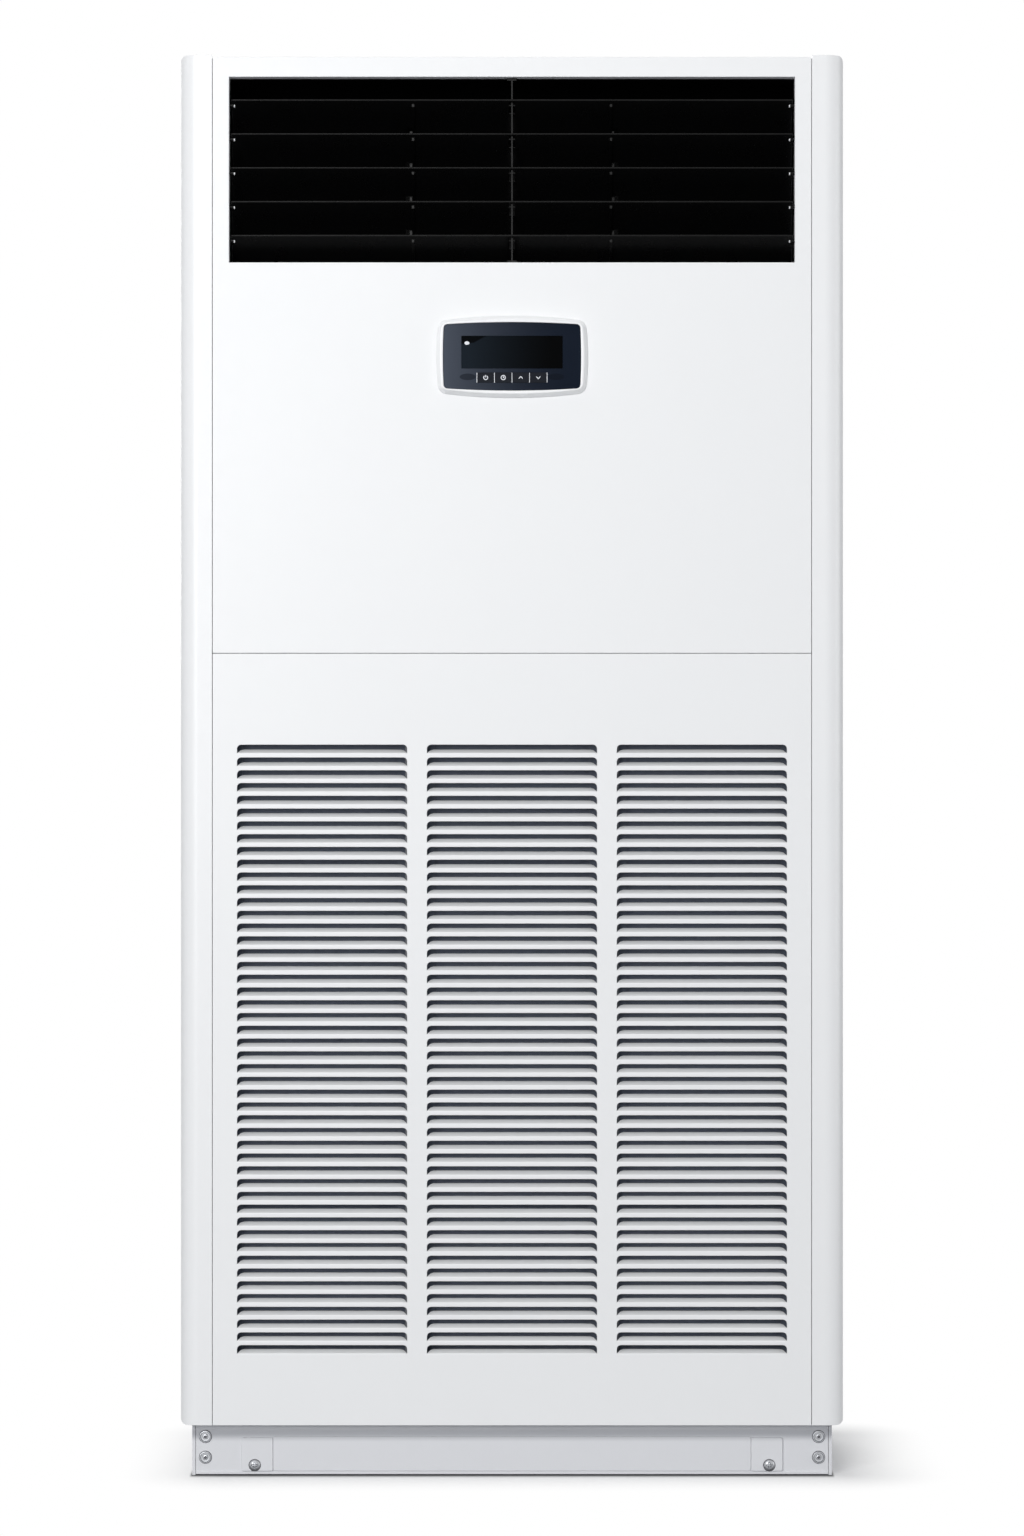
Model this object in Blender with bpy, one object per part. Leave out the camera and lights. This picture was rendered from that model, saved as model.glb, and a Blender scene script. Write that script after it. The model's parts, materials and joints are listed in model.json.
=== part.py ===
"""Floor-standing cabinet air conditioner, indoor unit, built as an assembly of named pieces.

Metres, +Z up. The front faces -Y, and the origin is the middle of the footprint, on the floor.
A sheet-steel cabinet stands on a folded plinth between two moulded corner columns. The lower
front panel is one pressed sheet with three columns of lanced intake louvres. The upper one has
the air outlet, where five curved blades turn together on their pins, ganged by two link rods,
and the control panel, a bowed bezel around a dark fascia with a display window and four keys.
"""
import math

import bmesh
import bpy
from mathutils import Vector

# Cabinet, outside
CABINET_WIDTH = 0.8645
CABINET_HEIGHT = 1.850
CABINET_DEPTH = 0.400
PLINTH_HEIGHT = 0.067
SPLIT_HEIGHT = 1.0715

# Sheet metal and fits
SHEET = 0.0012
PANEL_FLANGE = 0.018
PANEL_EDGE_RADIUS = 0.0015
SEAM_GAP = 0.0007
FIT_GAP = 0.0003
CUT_OVERRUN = 0.005

# Sides of the polygons that stand for round holes and pins
SMALL_ROUND = 8
LARGE_ROUND = 18

# Moulded corner columns
TRIM_FACE_WIDTH = 0.042
TRIM_SIDE_DEPTH = 0.060
TRIM_WALL = 0.0025
TRIM_RADIUS = 0.024
TRIM_END_RADIUS = 0.008
TRIM_RISE = 0.0026
TRIM_ARC_STEPS = 6
TRIM_END_STEPS = 3

# Side panels and the trays at the top and bottom of the cabinet
SIDE_FRONT_RETURN = 0.012
SIDE_REAR_RETURN = 0.020
BASE_EDGE_HEIGHT = 0.020
CROSS_RAIL_HEIGHT = 0.040
CROSS_RAIL_DEPTH = 0.025

# Plinth
PLINTH_SHEET = 0.002
PLINTH_SETBACK = 0.018
PLINTH_SIDE_SETBACK = 0.015
PLINTH_RAIL_FLANGE = 0.030
PLINTH_CORNER_EDGE = 0.0048
PLINTH_CORNER_HEM = 0.0042
PLINTH_HEM_HEIGHT = 0.005
PLINTH_HEM_DEPTH = 0.0015
COVER_THICKNESS = 0.0015
COVER_HEIGHT = 0.045
COVER_SIDE_MARGIN = 0.10085
CLIP_WIDTH = 0.0411
CLIP_HEIGHT = 0.0435
CLIP_THICKNESS = 0.003

# Back panel and its grommets
GROMMET_RIM = 0.003
GROMMET_LIP = 0.005
GROMMET_WALL = 0.004
PIPE_HOLE_RADIUS = 0.045
CABLE_HOLE_RADIUS = 0.016
DRAIN_HOLE_RADIUS = 0.020
GROMMET_ROW_HEIGHT = 0.070
DRAIN_OFFSET = 0.110
CABLE_OFFSET = 0.090
GROMMET_SIDE_MARGIN = 0.120
STIFFENER_WIDTH = 0.030
STIFFENER_DEPTH = 0.004
STIFFENER_MARGIN = 0.090
STIFFENER_COUNT = 4

# Intake louvres of the lower front panel
GRILLE_SIDE_MARGIN = 0.0320
GRILLE_TOP_MARGIN = 0.1187
GRILLE_BOTTOM_MARGIN = 0.0930
LOUVRE_COLUMNS = 3
LOUVRE_COLUMN_GAP = 0.026
LOUVRE_PITCH = 0.01662
LOUVRE_HEIGHT = 0.0108
LOUVRE_CORNER = 0.004
LOUVRE_CORNER_STEPS = 1
LOUVRE_BEND = math.radians(63.0)
LOUVRE_SIDE_GAP = 0.0008
LOUVRE_ROOT = 0.0004
LOUVRE_TAPER = 0.0062
LOUVRE_THINNING = 0.7

# Air filters behind the louvres
FILTER_FRAME_DEPTH = 0.010
FILTER_FRAME_BAR = 0.028
FILTER_THICKNESS = 0.007
FILTER_EDGE = 0.010
FILTER_RIB = 0.005
FILTER_MESH = 0.0015
FILTER_CELLS = 4

# Air outlet of the upper front panel
OUTLET_SIDE_MARGIN = 0.02145
OUTLET_TOP_MARGIN = 0.026
OUTLET_HEIGHT = 0.2413
DUCT_WALL = 0.002
DUCT_DEPTH = 0.150
DUCT_SIDE_GAP = 0.003
DUCT_DROP = 0.080
DUCT_BEND_RADIUS = 0.110
DUCT_BEND_STEPS = 8

# Outlet blades
BLADE_PITCH = 0.0441
FIRST_PIVOT_DROP = 0.0356
LAST_PIVOT_RISE = 0.029
PIVOT_SETBACK = 0.012
BLADE_CHORD = 0.054
BLADE_NOSE = 0.011
BLADE_THICKNESS = 0.0022
BLADE_CAMBER = 0.003
BLADE_STEPS = 4
BLADE_END_GAP = 0.0025
BLADE_REST_SLOPE = math.radians(45.0)
BLADE_STEEPEST = math.radians(60.0)
PIVOT_RADIUS = 0.002
PIVOT_BOSS_RADIUS = 0.0034
PIVOT_BOSS_LENGTH = 0.002
PIVOT_CLEARANCE = 0.0003
BEARING_THICKNESS = 0.004
BEARING_MARGIN = 0.003

# Fixed stay in the middle of the outlet
STAY_THICKNESS = 0.0018
STAY_FOOT_THICKNESS = 0.003
STAY_AHEAD = 0.0028
STAY_BEHIND = 0.0055
STAY_FOOT = 0.012
STAY_PIN_RADIUS = 0.0014
STAY_SIDE_CLEARANCE = 0.0027
STAY_BLADE_CLEARANCE = 0.001

# Link rods that gang the blades
RIB_OFFSET = 0.129
RIB_THICKNESS = 0.003
RIB_HEIGHT = 0.004
CRANK_REACH = 0.050
CRANK_EAR_RADIUS = 0.0036
LINK_THICKNESS = 0.003
LINK_WIDTH = 0.008
LINK_OVERHANG = 0.006
LINK_PIN_RADIUS = 0.0014
NOTCH_WIDTH = 0.0085
NOTCH_DEPTH = 0.0065

# Control panel
BEZEL_RAISE = 0.009
BEZEL_DROP = 0.1230
BEZEL_CORNER_X = 0.0841
BEZEL_CORNER_Z = 0.0350
BEZEL_CORNER_RADIUS = 0.013
BEZEL_BOW_TOP = math.radians(7.0)
BEZEL_BOW_SIDE = math.radians(6.0)
BEZEL_CREST_INSET = 0.0065
BEZEL_CREST_WIDTH = 0.002
FASCIA_WIDTH = 0.1772
FASCIA_HEIGHT = 0.0832
FASCIA_CORNER_RADIUS = 0.005
FASCIA_SINK = 0.0025
DISPLAY_WIDTH = 0.1318
DISPLAY_HEIGHT = 0.0426
DISPLAY_RISE = 0.0056
DISPLAY_DEPTH = 0.003
KEY_COUNT = 4
KEY_PITCH = 0.0228
KEY_WIDTH = 0.0218
KEY_HEIGHT = 0.0134
KEY_DEPTH = 0.002
KEY_DROP = 0.0275
KEY_RISE = 0.0004

# What follows from the sizes above
HALF_WIDTH = CABINET_WIDTH / 2
OVERALL_DEPTH = CABINET_DEPTH + BEZEL_RAISE + GROMMET_RIM
FRONT_Y = -OVERALL_DEPTH / 2 + BEZEL_RAISE
BACK_Y = OVERALL_DEPTH / 2 - GROMMET_RIM
BODY_TOP = CABINET_HEIGHT - TRIM_RISE
TRIM_INNER_X = HALF_WIDTH - TRIM_FACE_WIDTH
PANEL_HALF = TRIM_INNER_X - SEAM_GAP
FLANGE_BACK_Y = FRONT_Y + PANEL_FLANGE
BEHIND_FLANGE_Y = FLANGE_BACK_Y + FIT_GAP
SIDE_FRONT_Y = FRONT_Y + TRIM_SIDE_DEPTH + FIT_GAP
SIDE_BACK_Y = BACK_Y - SHEET - FIT_GAP
LOWER_PANEL_TOP = SPLIT_HEIGHT - SEAM_GAP / 2
UPPER_PANEL_BOTTOM = SPLIT_HEIGHT + SEAM_GAP / 2

OUTLET_HALF = PANEL_HALF - OUTLET_SIDE_MARGIN
OUTLET_TOP = BODY_TOP - OUTLET_TOP_MARGIN
OUTLET_BOTTOM = OUTLET_TOP - OUTLET_HEIGHT
PIVOT_Y = FRONT_Y + PIVOT_SETBACK
FIRST_PIVOT_Z = OUTLET_TOP - FIRST_PIVOT_DROP
BLADE_ROOM = OUTLET_HEIGHT - FIRST_PIVOT_DROP - LAST_PIVOT_RISE
BLADE_COUNT = 1 + int(BLADE_ROOM / BLADE_PITCH + 0.001)
BLADE_HALF = OUTLET_HALF - BLADE_END_GAP
BLADE_TAIL = BLADE_CHORD - BLADE_NOSE
BEARING_X = OUTLET_HALF + SHEET + FIT_GAP
LINK_X = RIB_OFFSET + RIB_THICKNESS / 2 + FIT_GAP

LOWER_PANEL_BOTTOM = PLINTH_HEIGHT
GRILLE_HALF = PANEL_HALF - GRILLE_SIDE_MARGIN
GRILLE_TOP = LOWER_PANEL_TOP - GRILLE_TOP_MARGIN
GRILLE_HEIGHT = GRILLE_TOP - LOWER_PANEL_BOTTOM - GRILLE_BOTTOM_MARGIN
LOUVRE_ROWS = 1 + int((GRILLE_HEIGHT - LOUVRE_HEIGHT) / LOUVRE_PITCH)
COLUMN_GAPS = (LOUVRE_COLUMNS - 1) * LOUVRE_COLUMN_GAP
LOUVRE_LENGTH = (2 * GRILLE_HALF - COLUMN_GAPS) / LOUVRE_COLUMNS

PLINTH_HALF = HALF_WIDTH - PLINTH_SIDE_SETBACK
PLINTH_FRONT_Y = FRONT_Y + PLINTH_SETBACK
PLINTH_BACK_Y = BACK_Y - PLINTH_SETBACK
PLINTH_TOP = PLINTH_HEIGHT - FIT_GAP
PLINTH_RAIL_HALF = PLINTH_HALF - PLINTH_CORNER_EDGE
COVER_HALF = PLINTH_RAIL_HALF - COVER_SIDE_MARGIN

BEZEL_CENTRE_Z = OUTLET_BOTTOM - BEZEL_DROP
FASCIA_FACE_Y = FRONT_Y - BEZEL_RAISE + FASCIA_SINK


# Meshes

def block(x_span, y_span, z_span):
    """A closed box between three pairs of limits."""
    mesh = bmesh.new()
    bmesh.ops.create_cube(mesh, size=1.0)
    low = Vector((x_span[0], y_span[0], z_span[0]))
    high = Vector((x_span[1], y_span[1], z_span[1]))
    size = high - low
    for vertex in mesh.verts:
        share = vertex.co + Vector((0.5, 0.5, 0.5))
        vertex.co = low + Vector((share.x * size.x, share.y * size.y, share.z * size.z))
    return mesh


def on_axis(axis, first, second, along):
    """A point from two outline coordinates and a position along the extrusion axis."""
    if axis == "X":
        return Vector((along, first, second))
    if axis == "Y":
        return Vector((first, along, second))
    return Vector((first, second, along))


def loft(rings, closed_ring=False):
    """Skin rings of equally many points. A closed ring joins the last ring to the first."""
    mesh = bmesh.new()
    rows = [[mesh.verts.new(point) for point in ring] for ring in rings]
    pairs = list(zip(rows, rows[1:]))
    if closed_ring:
        pairs.append((rows[-1], rows[0]))
    for lower, upper in pairs:
        count = len(lower)
        for index in range(count):
            following = (index + 1) % count
            mesh.faces.new((lower[index], lower[following], upper[following], upper[index]))
    if not closed_ring:
        mesh.faces.new(rows[0])
        mesh.faces.new(rows[-1])
    bmesh.ops.recalc_face_normals(mesh, faces=mesh.faces)
    return mesh


def prism(outline, axis, low, high):
    """Extrude a flat outline along one axis."""
    return loft([[on_axis(axis, a, b, along) for a, b in outline] for along in (low, high)])


def circle(centre, radius, steps):
    """A regular outline of a round hole or pin, counter-clockwise."""
    turns = [math.tau * (index + 0.5) / steps for index in range(steps)]
    return [(centre[0] + radius * math.cos(turn), centre[1] + radius * math.sin(turn))
            for turn in turns]


def arc(centre, radius, start, end, steps):
    """Points on an arc from one angle to another, both ends included."""
    turns = [start + (end - start) * index / steps for index in range(steps + 1)]
    return [(centre[0] + radius * math.cos(turn), centre[1] + radius * math.sin(turn))
            for turn in turns]


def merged(*meshes):
    """One mesh that holds several bodies, which don't touch each other."""
    whole = bmesh.new()
    for mesh in meshes:
        copies = {vertex: whole.verts.new(vertex.co) for vertex in mesh.verts}
        for face in mesh.faces:
            whole.faces.new([copies[vertex] for vertex in face.verts])
        mesh.free()
    return whole


def flipped(mesh, side):
    """The mesh itself on the right, or its mirror image on the left."""
    if side < 0:
        bmesh.ops.scale(mesh, vec=(-1, 1, 1), verts=mesh.verts)
        bmesh.ops.reverse_faces(mesh, faces=mesh.faces)
    return mesh


# Objects

def make_material(name, colour, roughness, metallic=0.0):
    """A Principled material with one colour."""
    material = bpy.data.materials.new(name)
    material.use_nodes = True
    shader = material.node_tree.nodes["Principled BSDF"]
    shader.inputs["Base Color"].default_value = (*colour, 1.0)
    shader.inputs["Roughness"].default_value = roughness
    shader.inputs["Metallic"].default_value = metallic
    material.diffuse_color = (*colour, 1.0)
    return material


def make_object(name, mesh, finish=None, smooth=None):
    """Put a mesh in the scene as an object, with its material and shading."""
    data = bpy.data.meshes.new(name)
    bmesh.ops.recalc_face_normals(mesh, faces=mesh.faces)
    mesh.to_mesh(data)
    mesh.free()
    piece = bpy.data.objects.new(name, data)
    bpy.context.scene.collection.objects.link(piece)
    if finish:
        data.materials.append(make_material(name, *finish))
    if smooth:
        shade_round(piece, smooth)
    return piece


def shade_round(piece, angle=math.radians(35.0)):
    """Smooth shading that keeps the edges sharper than an angle."""
    piece.data.shade_smooth()
    piece.data.set_sharp_from_angle(angle=angle)


def apply_boolean(piece, mesh, operation):
    """Cut or join a mesh with an exact Boolean, apply it and remove the tool."""
    tool = make_object(piece.name + "_tool", mesh)
    tool.hide_render = True
    tool.display_type = "WIRE"
    modifier = piece.modifiers.new(operation.lower(), "BOOLEAN")
    modifier.operation = operation
    modifier.solver = "EXACT"
    modifier.object = tool
    graph = bpy.context.evaluated_depsgraph_get()
    result = bpy.data.meshes.new_from_object(piece.evaluated_get(graph))
    piece.modifiers.remove(modifier)
    before = piece.data
    piece.data = result
    bpy.data.meshes.remove(before)
    result.name = piece.name
    bpy.data.objects.remove(tool)


def cut(piece, mesh):
    """Take a mesh away from a piece."""
    apply_boolean(piece, mesh, "DIFFERENCE")


def join(piece, mesh):
    """Join a mesh to a piece."""
    apply_boolean(piece, mesh, "UNION")


# Finishes: colour, roughness, metallic
PAINT = ((0.86, 0.87, 0.88), 0.38, 0.0)
MOULDING = ((0.88, 0.88, 0.89), 0.35, 0.0)
BACK_PAINT = ((0.62, 0.63, 0.64), 0.45, 0.2)
PLINTH_PAINT = ((0.68, 0.69, 0.71), 0.42, 0.1)
CLIP_PLASTIC = ((0.72, 0.73, 0.75), 0.45, 0.0)
BLACK_PLASTIC = ((0.012, 0.012, 0.014), 0.5, 0.0)
GREY_PLASTIC = ((0.30, 0.31, 0.33), 0.5, 0.0)
GALVANISED = ((0.45, 0.46, 0.48), 0.4, 0.8)
FILTER_BLUE = ((0.045, 0.055, 0.08), 0.75, 0.0)
FASCIA_BLUE = ((0.018, 0.023, 0.034), 0.25, 0.0)
DISPLAY_BLACK = ((0.006, 0.008, 0.011), 0.12, 0.0)
RUBBER = ((0.03, 0.03, 0.03), 0.7, 0.0)


# Plinth

def channel_outline(inner_side, outer_side, flange, sheet, low, high):
    """C-section of a rail: a web at the outer side with a flange at its top and bottom."""
    inward = 1 if inner_side > outer_side else -1
    web = outer_side + inward * sheet
    tip = outer_side + inward * flange
    return [(outer_side, low), (tip, low), (tip, low + sheet), (web, low + sheet),
            (web, high - sheet), (tip, high - sheet), (tip, high), (outer_side, high)]


def build_plinth():
    """Four folded rails, the long cover plate and the two clips of the front."""
    rails = ((PLINTH_FRONT_Y, 1, "plinth_front_rail"), (PLINTH_BACK_Y, -1, "plinth_back_rail"))
    for face_y, inward, name in rails:
        outline = channel_outline(face_y + inward, face_y, PLINTH_RAIL_FLANGE, PLINTH_SHEET,
                                  0.0, PLINTH_TOP)
        rail = make_object(name, prism(outline, "X", -PLINTH_RAIL_HALF, PLINTH_RAIL_HALF),
                           PLINTH_PAINT)
        if inward > 0:
            hem_back = face_y + PLINTH_SHEET / 2
            join(rail, block((-PLINTH_RAIL_HALF, PLINTH_RAIL_HALF),
                             (face_y - PLINTH_HEM_DEPTH, hem_back), (0.0, PLINTH_HEM_HEIGHT)))
    corner = PLINTH_RAIL_FLANGE + FIT_GAP
    for side, name in ((-1, "plinth_left_rail"), (1, "plinth_right_rail")):
        outline = channel_outline(0.0, PLINTH_HALF, PLINTH_RAIL_FLANGE, PLINTH_SHEET,
                                  0.0, PLINTH_TOP)
        mesh = prism(outline, "Y", PLINTH_FRONT_Y, PLINTH_BACK_Y)
        rail = make_object(name, flipped(mesh, side), PLINTH_PAINT)
        reach = PLINTH_HALF - PLINTH_SHEET
        inner = min(side * (reach - PLINTH_RAIL_FLANGE), side * reach)
        outer = max(side * (reach - PLINTH_RAIL_FLANGE), side * reach)
        ends = [(PLINTH_FRONT_Y - CUT_OVERRUN, PLINTH_FRONT_Y + corner),
                (PLINTH_BACK_Y - corner, PLINTH_BACK_Y + CUT_OVERRUN)]
        cut(rail, merged(*[block((inner, outer), span, (-CUT_OVERRUN, PLINTH_HEIGHT))
                           for span in ends]))
        hem = block((PLINTH_HALF - PLINTH_CORNER_HEM, PLINTH_HALF - PLINTH_SHEET / 2),
                    (PLINTH_FRONT_Y, PLINTH_FRONT_Y + PLINTH_CORNER_HEM), (0.0, PLINTH_TOP))
        join(rail, flipped(hem, side))
    cover_back = PLINTH_FRONT_Y - FIT_GAP
    cover_low = PLINTH_HEM_HEIGHT + FIT_GAP
    cover = block((-COVER_HALF, COVER_HALF), (cover_back - COVER_THICKNESS, cover_back),
                  (cover_low, cover_low + COVER_HEIGHT))
    make_object("plinth_cover", cover, PLINTH_PAINT)
    clip_x = COVER_HALF + FIT_GAP
    for side, name in ((-1, "plinth_clip_left"), (1, "plinth_clip_right")):
        mesh = block((clip_x, clip_x + CLIP_WIDTH), (cover_back - CLIP_THICKNESS, cover_back),
                     (cover_low, cover_low + CLIP_HEIGHT))
        make_object(name, flipped(mesh, side), CLIP_PLASTIC)


# Cabinet

def tray_outline(side_reach, front_y, rear_front_y, back_y):
    """Plan of a tray: narrow between the corner columns, wide behind them."""
    neck = TRIM_INNER_X - FIT_GAP
    return [(-neck, front_y), (neck, front_y), (neck, rear_front_y), (side_reach, rear_front_y),
            (side_reach, back_y), (-side_reach, back_y), (-side_reach, rear_front_y),
            (-neck, rear_front_y)]


def shrunk_tray_outline(outline, amount):
    """The same plan with every side moved inward by one amount."""
    (neck, front_y), (side_reach, rear_front_y), (_, back_y) = outline[1], outline[3], outline[4]
    neck -= amount
    front_y += amount
    side_reach -= amount
    rear_front_y += amount
    back_y -= amount
    return [(-neck, front_y), (neck, front_y), (neck, rear_front_y), (side_reach, rear_front_y),
            (side_reach, back_y), (-side_reach, back_y), (-side_reach, rear_front_y),
            (-neck, rear_front_y)]


def build_trays():
    """The base pan with its turned-up edge and the flat lid on top of the cabinet."""
    inner_reach = HALF_WIDTH - SHEET - FIT_GAP
    pan_front = SIDE_FRONT_Y + SHEET + FIT_GAP
    pan_back = SIDE_BACK_Y - SHEET - FIT_GAP
    outline = tray_outline(inner_reach, BEHIND_FLANGE_Y, pan_front, pan_back)
    pan_top = PLINTH_HEIGHT + BASE_EDGE_HEIGHT
    pan = make_object("base_pan", prism(outline, "Z", PLINTH_HEIGHT, pan_top), GALVANISED)
    hollow = shrunk_tray_outline(outline, SHEET)
    cut(pan, prism(hollow, "Z", PLINTH_HEIGHT + SHEET, pan_top + CUT_OVERRUN))
    outline = tray_outline(HALF_WIDTH, BEHIND_FLANGE_Y, SIDE_FRONT_Y, BACK_Y)
    make_object("top_panel", prism(outline, "Z", BODY_TOP - SHEET, BODY_TOP), PAINT)


def build_side_panels():
    """Two tall sheets with a return at the front and at the rear edge."""
    outer = HALF_WIDTH
    inner = HALF_WIDTH - SHEET
    front_tip = HALF_WIDTH - SIDE_FRONT_RETURN
    rear_tip = HALF_WIDTH - SIDE_REAR_RETURN
    outline = [(outer, SIDE_FRONT_Y), (outer, SIDE_BACK_Y), (rear_tip, SIDE_BACK_Y),
               (rear_tip, SIDE_BACK_Y - SHEET), (inner, SIDE_BACK_Y - SHEET),
               (inner, SIDE_FRONT_Y + SHEET), (front_tip, SIDE_FRONT_Y + SHEET),
               (front_tip, SIDE_FRONT_Y)]
    top = BODY_TOP - SHEET - FIT_GAP
    for side, name in ((-1, "left_side_panel"), (1, "right_side_panel")):
        make_object(name, flipped(prism(outline, "Z", PLINTH_HEIGHT, top), side), PAINT)


def grommet_places():
    """Centre x, centre z and hole radius of the openings in the back panel."""
    row_z = PLINTH_HEIGHT + GROMMET_ROW_HEIGHT
    first_x = HALF_WIDTH - GROMMET_SIDE_MARGIN
    return {"pipe_grommet": (first_x, row_z, PIPE_HOLE_RADIUS),
            "drain_grommet": (first_x - DRAIN_OFFSET, row_z, DRAIN_HOLE_RADIUS),
            "cable_grommet": (first_x - DRAIN_OFFSET - CABLE_OFFSET, row_z, CABLE_HOLE_RADIUS)}


def build_back():
    """The back sheet with pressed stiffeners, and rubber grommets in its three openings."""
    top = BODY_TOP - SHEET - FIT_GAP
    panel = make_object("back_panel", block((-HALF_WIDTH, HALF_WIDTH), (BACK_Y - SHEET, BACK_Y),
                                            (PLINTH_HEIGHT, top)), BACK_PAINT)
    beads, hollows = [], []
    reach = HALF_WIDTH - STIFFENER_MARGIN
    low = PLINTH_HEIGHT + 2 * GROMMET_ROW_HEIGHT + PIPE_HOLE_RADIUS
    step = (top - STIFFENER_MARGIN - low) / (STIFFENER_COUNT - 1)
    for index in range(STIFFENER_COUNT):
        z = low + index * step
        inner_y = BACK_Y - SHEET
        half = STIFFENER_WIDTH / 2
        taper = STIFFENER_DEPTH
        bead = [(inner_y + SHEET / 2, z - half), (inner_y, z - half), (inner_y - taper, z - half + taper),
                (inner_y - taper, z + half - taper), (inner_y, z + half), (inner_y + SHEET / 2, z + half)]
        hollow = [(BACK_Y + CUT_OVERRUN, z - half + SHEET), (BACK_Y - SHEET / 4, z - half + SHEET),
                  (BACK_Y - taper, z - half + taper + SHEET / 2),
                  (BACK_Y - taper, z + half - taper - SHEET / 2),
                  (BACK_Y - SHEET / 4, z + half - SHEET), (BACK_Y + CUT_OVERRUN, z + half - SHEET)]
        beads.append(prism(bead, "X", -reach, reach))
        hollows.append(prism(hollow, "X", -reach + SHEET, reach - SHEET))
    join(panel, merged(*beads))
    cut(panel, merged(*hollows))
    holes = []
    for x, z, radius in grommet_places().values():
        holes.append(prism(circle((x, z), radius, LARGE_ROUND), "Y", BACK_Y - 0.02, BACK_Y + 0.02))
    cut(panel, merged(*holes))
    for name, (x, z, radius) in grommet_places().items():
        make_object(name, grommet_mesh(x, z, radius), RUBBER, math.radians(35.0))


def grommet_mesh(x, z, hole_radius):
    """A turned rubber ring that grips the sheet's edge in its groove."""
    groove = hole_radius - FIT_GAP
    rim = hole_radius + GROMMET_LIP
    bore = hole_radius - GROMMET_WALL
    inside = BACK_Y - SHEET - FIT_GAP
    outside = BACK_Y + FIT_GAP
    lip = GROMMET_RIM - FIT_GAP
    profile = [(bore, inside - lip), (rim, inside - lip), (rim, inside), (groove, inside),
               (groove, outside), (rim, outside), (rim, outside + lip), (bore, outside + lip)]
    rings = []
    for radius, y in profile:
        rings.append([on_axis("Y", a, b, y) for a, b in circle((x, z), radius, LARGE_ROUND)])
    return loft(rings, closed_ring=True)


def column_body(name, wall):
    """The right corner column's outer shape, or its inner one when it is a wall smaller.

    It is the plan, with its large front radius, where it lies inside the front view, whose outer
    corners are rounded at the top and bottom.
    """
    x_inner = TRIM_INNER_X + wall
    x_outer = HALF_WIDTH - wall
    y_front = FRONT_Y + wall
    y_back = FRONT_Y + TRIM_SIDE_DEPTH + (CUT_OVERRUN if wall else 0.0)
    low = PLINTH_HEIGHT + wall
    high = CABINET_HEIGHT - wall
    radius = TRIM_RADIUS - wall
    end_radius = TRIM_END_RADIUS - wall
    plan = [(x_inner, y_front)]
    plan += arc((x_outer - radius, y_front + radius), radius, -math.pi / 2, 0.0, TRIM_ARC_STEPS)
    plan += [(x_outer, y_back), (x_inner, y_back)]
    body = make_object(name, prism(plan, "Z", low - CUT_OVERRUN, high + CUT_OVERRUN), MOULDING)
    corner_x = x_outer - end_radius
    view = [(x_inner - CUT_OVERRUN, low)]
    view += arc((corner_x, low + end_radius), end_radius, -math.pi / 2, 0.0, TRIM_END_STEPS)
    view += arc((corner_x, high - end_radius), end_radius, 0.0, math.pi / 2, TRIM_END_STEPS)
    view += [(x_inner - CUT_OVERRUN, high)]
    apply_boolean(body, prism(view, "Y", y_front - CUT_OVERRUN, y_back + CUT_OVERRUN), "INTERSECT")
    return body


def taken_mesh(piece, side):
    """A piece's mesh as a tool for one side, with the piece itself removed."""
    mesh = bmesh.new()
    mesh.from_mesh(piece.data)
    bpy.data.objects.remove(piece)
    return flipped(mesh, side)


def build_corner_trims():
    """Hollow moulded columns, open at the back and rounded along the outer front edge."""
    for side, name in ((-1, "left_corner_trim"), (1, "right_corner_trim")):
        outer = taken_mesh(column_body(name + "_solid", 0.0), side)
        hollow = taken_mesh(column_body(name + "_hollow", TRIM_WALL), side)
        trim = make_object(name, outer, MOULDING)
        cut(trim, hollow)
        shade_round(trim)


def folded_panel(name, low, high):
    """A front panel: a sheet with all four edges folded back and a small bend radius."""
    mesh = block((-PANEL_HALF, PANEL_HALF), (FRONT_Y, FLANGE_BACK_Y), (low, high))
    edges = [edge for edge in mesh.edges
             if all(abs(vertex.co.y - FRONT_Y) < 1e-6 for vertex in edge.verts)]
    bmesh.ops.bevel(mesh, geom=edges, offset=PANEL_EDGE_RADIUS, segments=2, profile=0.5,
                    affect="EDGES")
    panel = make_object(name, mesh, PAINT)
    inner = PANEL_HALF - SHEET
    cut(panel, block((-inner, inner), (FRONT_Y + SHEET, FLANGE_BACK_Y + CUT_OVERRUN),
                     (low + SHEET, high - SHEET)))
    return panel


def build_cross_rail():
    """The channel behind the joint of the two front panels, which carries both."""
    half = TRIM_INNER_X - FIT_GAP
    low = SPLIT_HEIGHT - CROSS_RAIL_HEIGHT / 2
    high = SPLIT_HEIGHT + CROSS_RAIL_HEIGHT / 2
    outline = channel_outline(BEHIND_FLANGE_Y + 1, BEHIND_FLANGE_Y, CROSS_RAIL_DEPTH, SHEET,
                              low, high)
    make_object("cross_rail", prism(outline, "X", -half, half), GALVANISED)


# Intake

def louvre_origins():
    """Left end and lower edge of every louvre, row by row from the top."""
    step = LOUVRE_LENGTH + LOUVRE_COLUMN_GAP
    for row in range(LOUVRE_ROWS):
        low = GRILLE_TOP - LOUVRE_HEIGHT - row * LOUVRE_PITCH
        for column in range(LOUVRE_COLUMNS):
            yield -GRILLE_HALF + column * step, low


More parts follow.
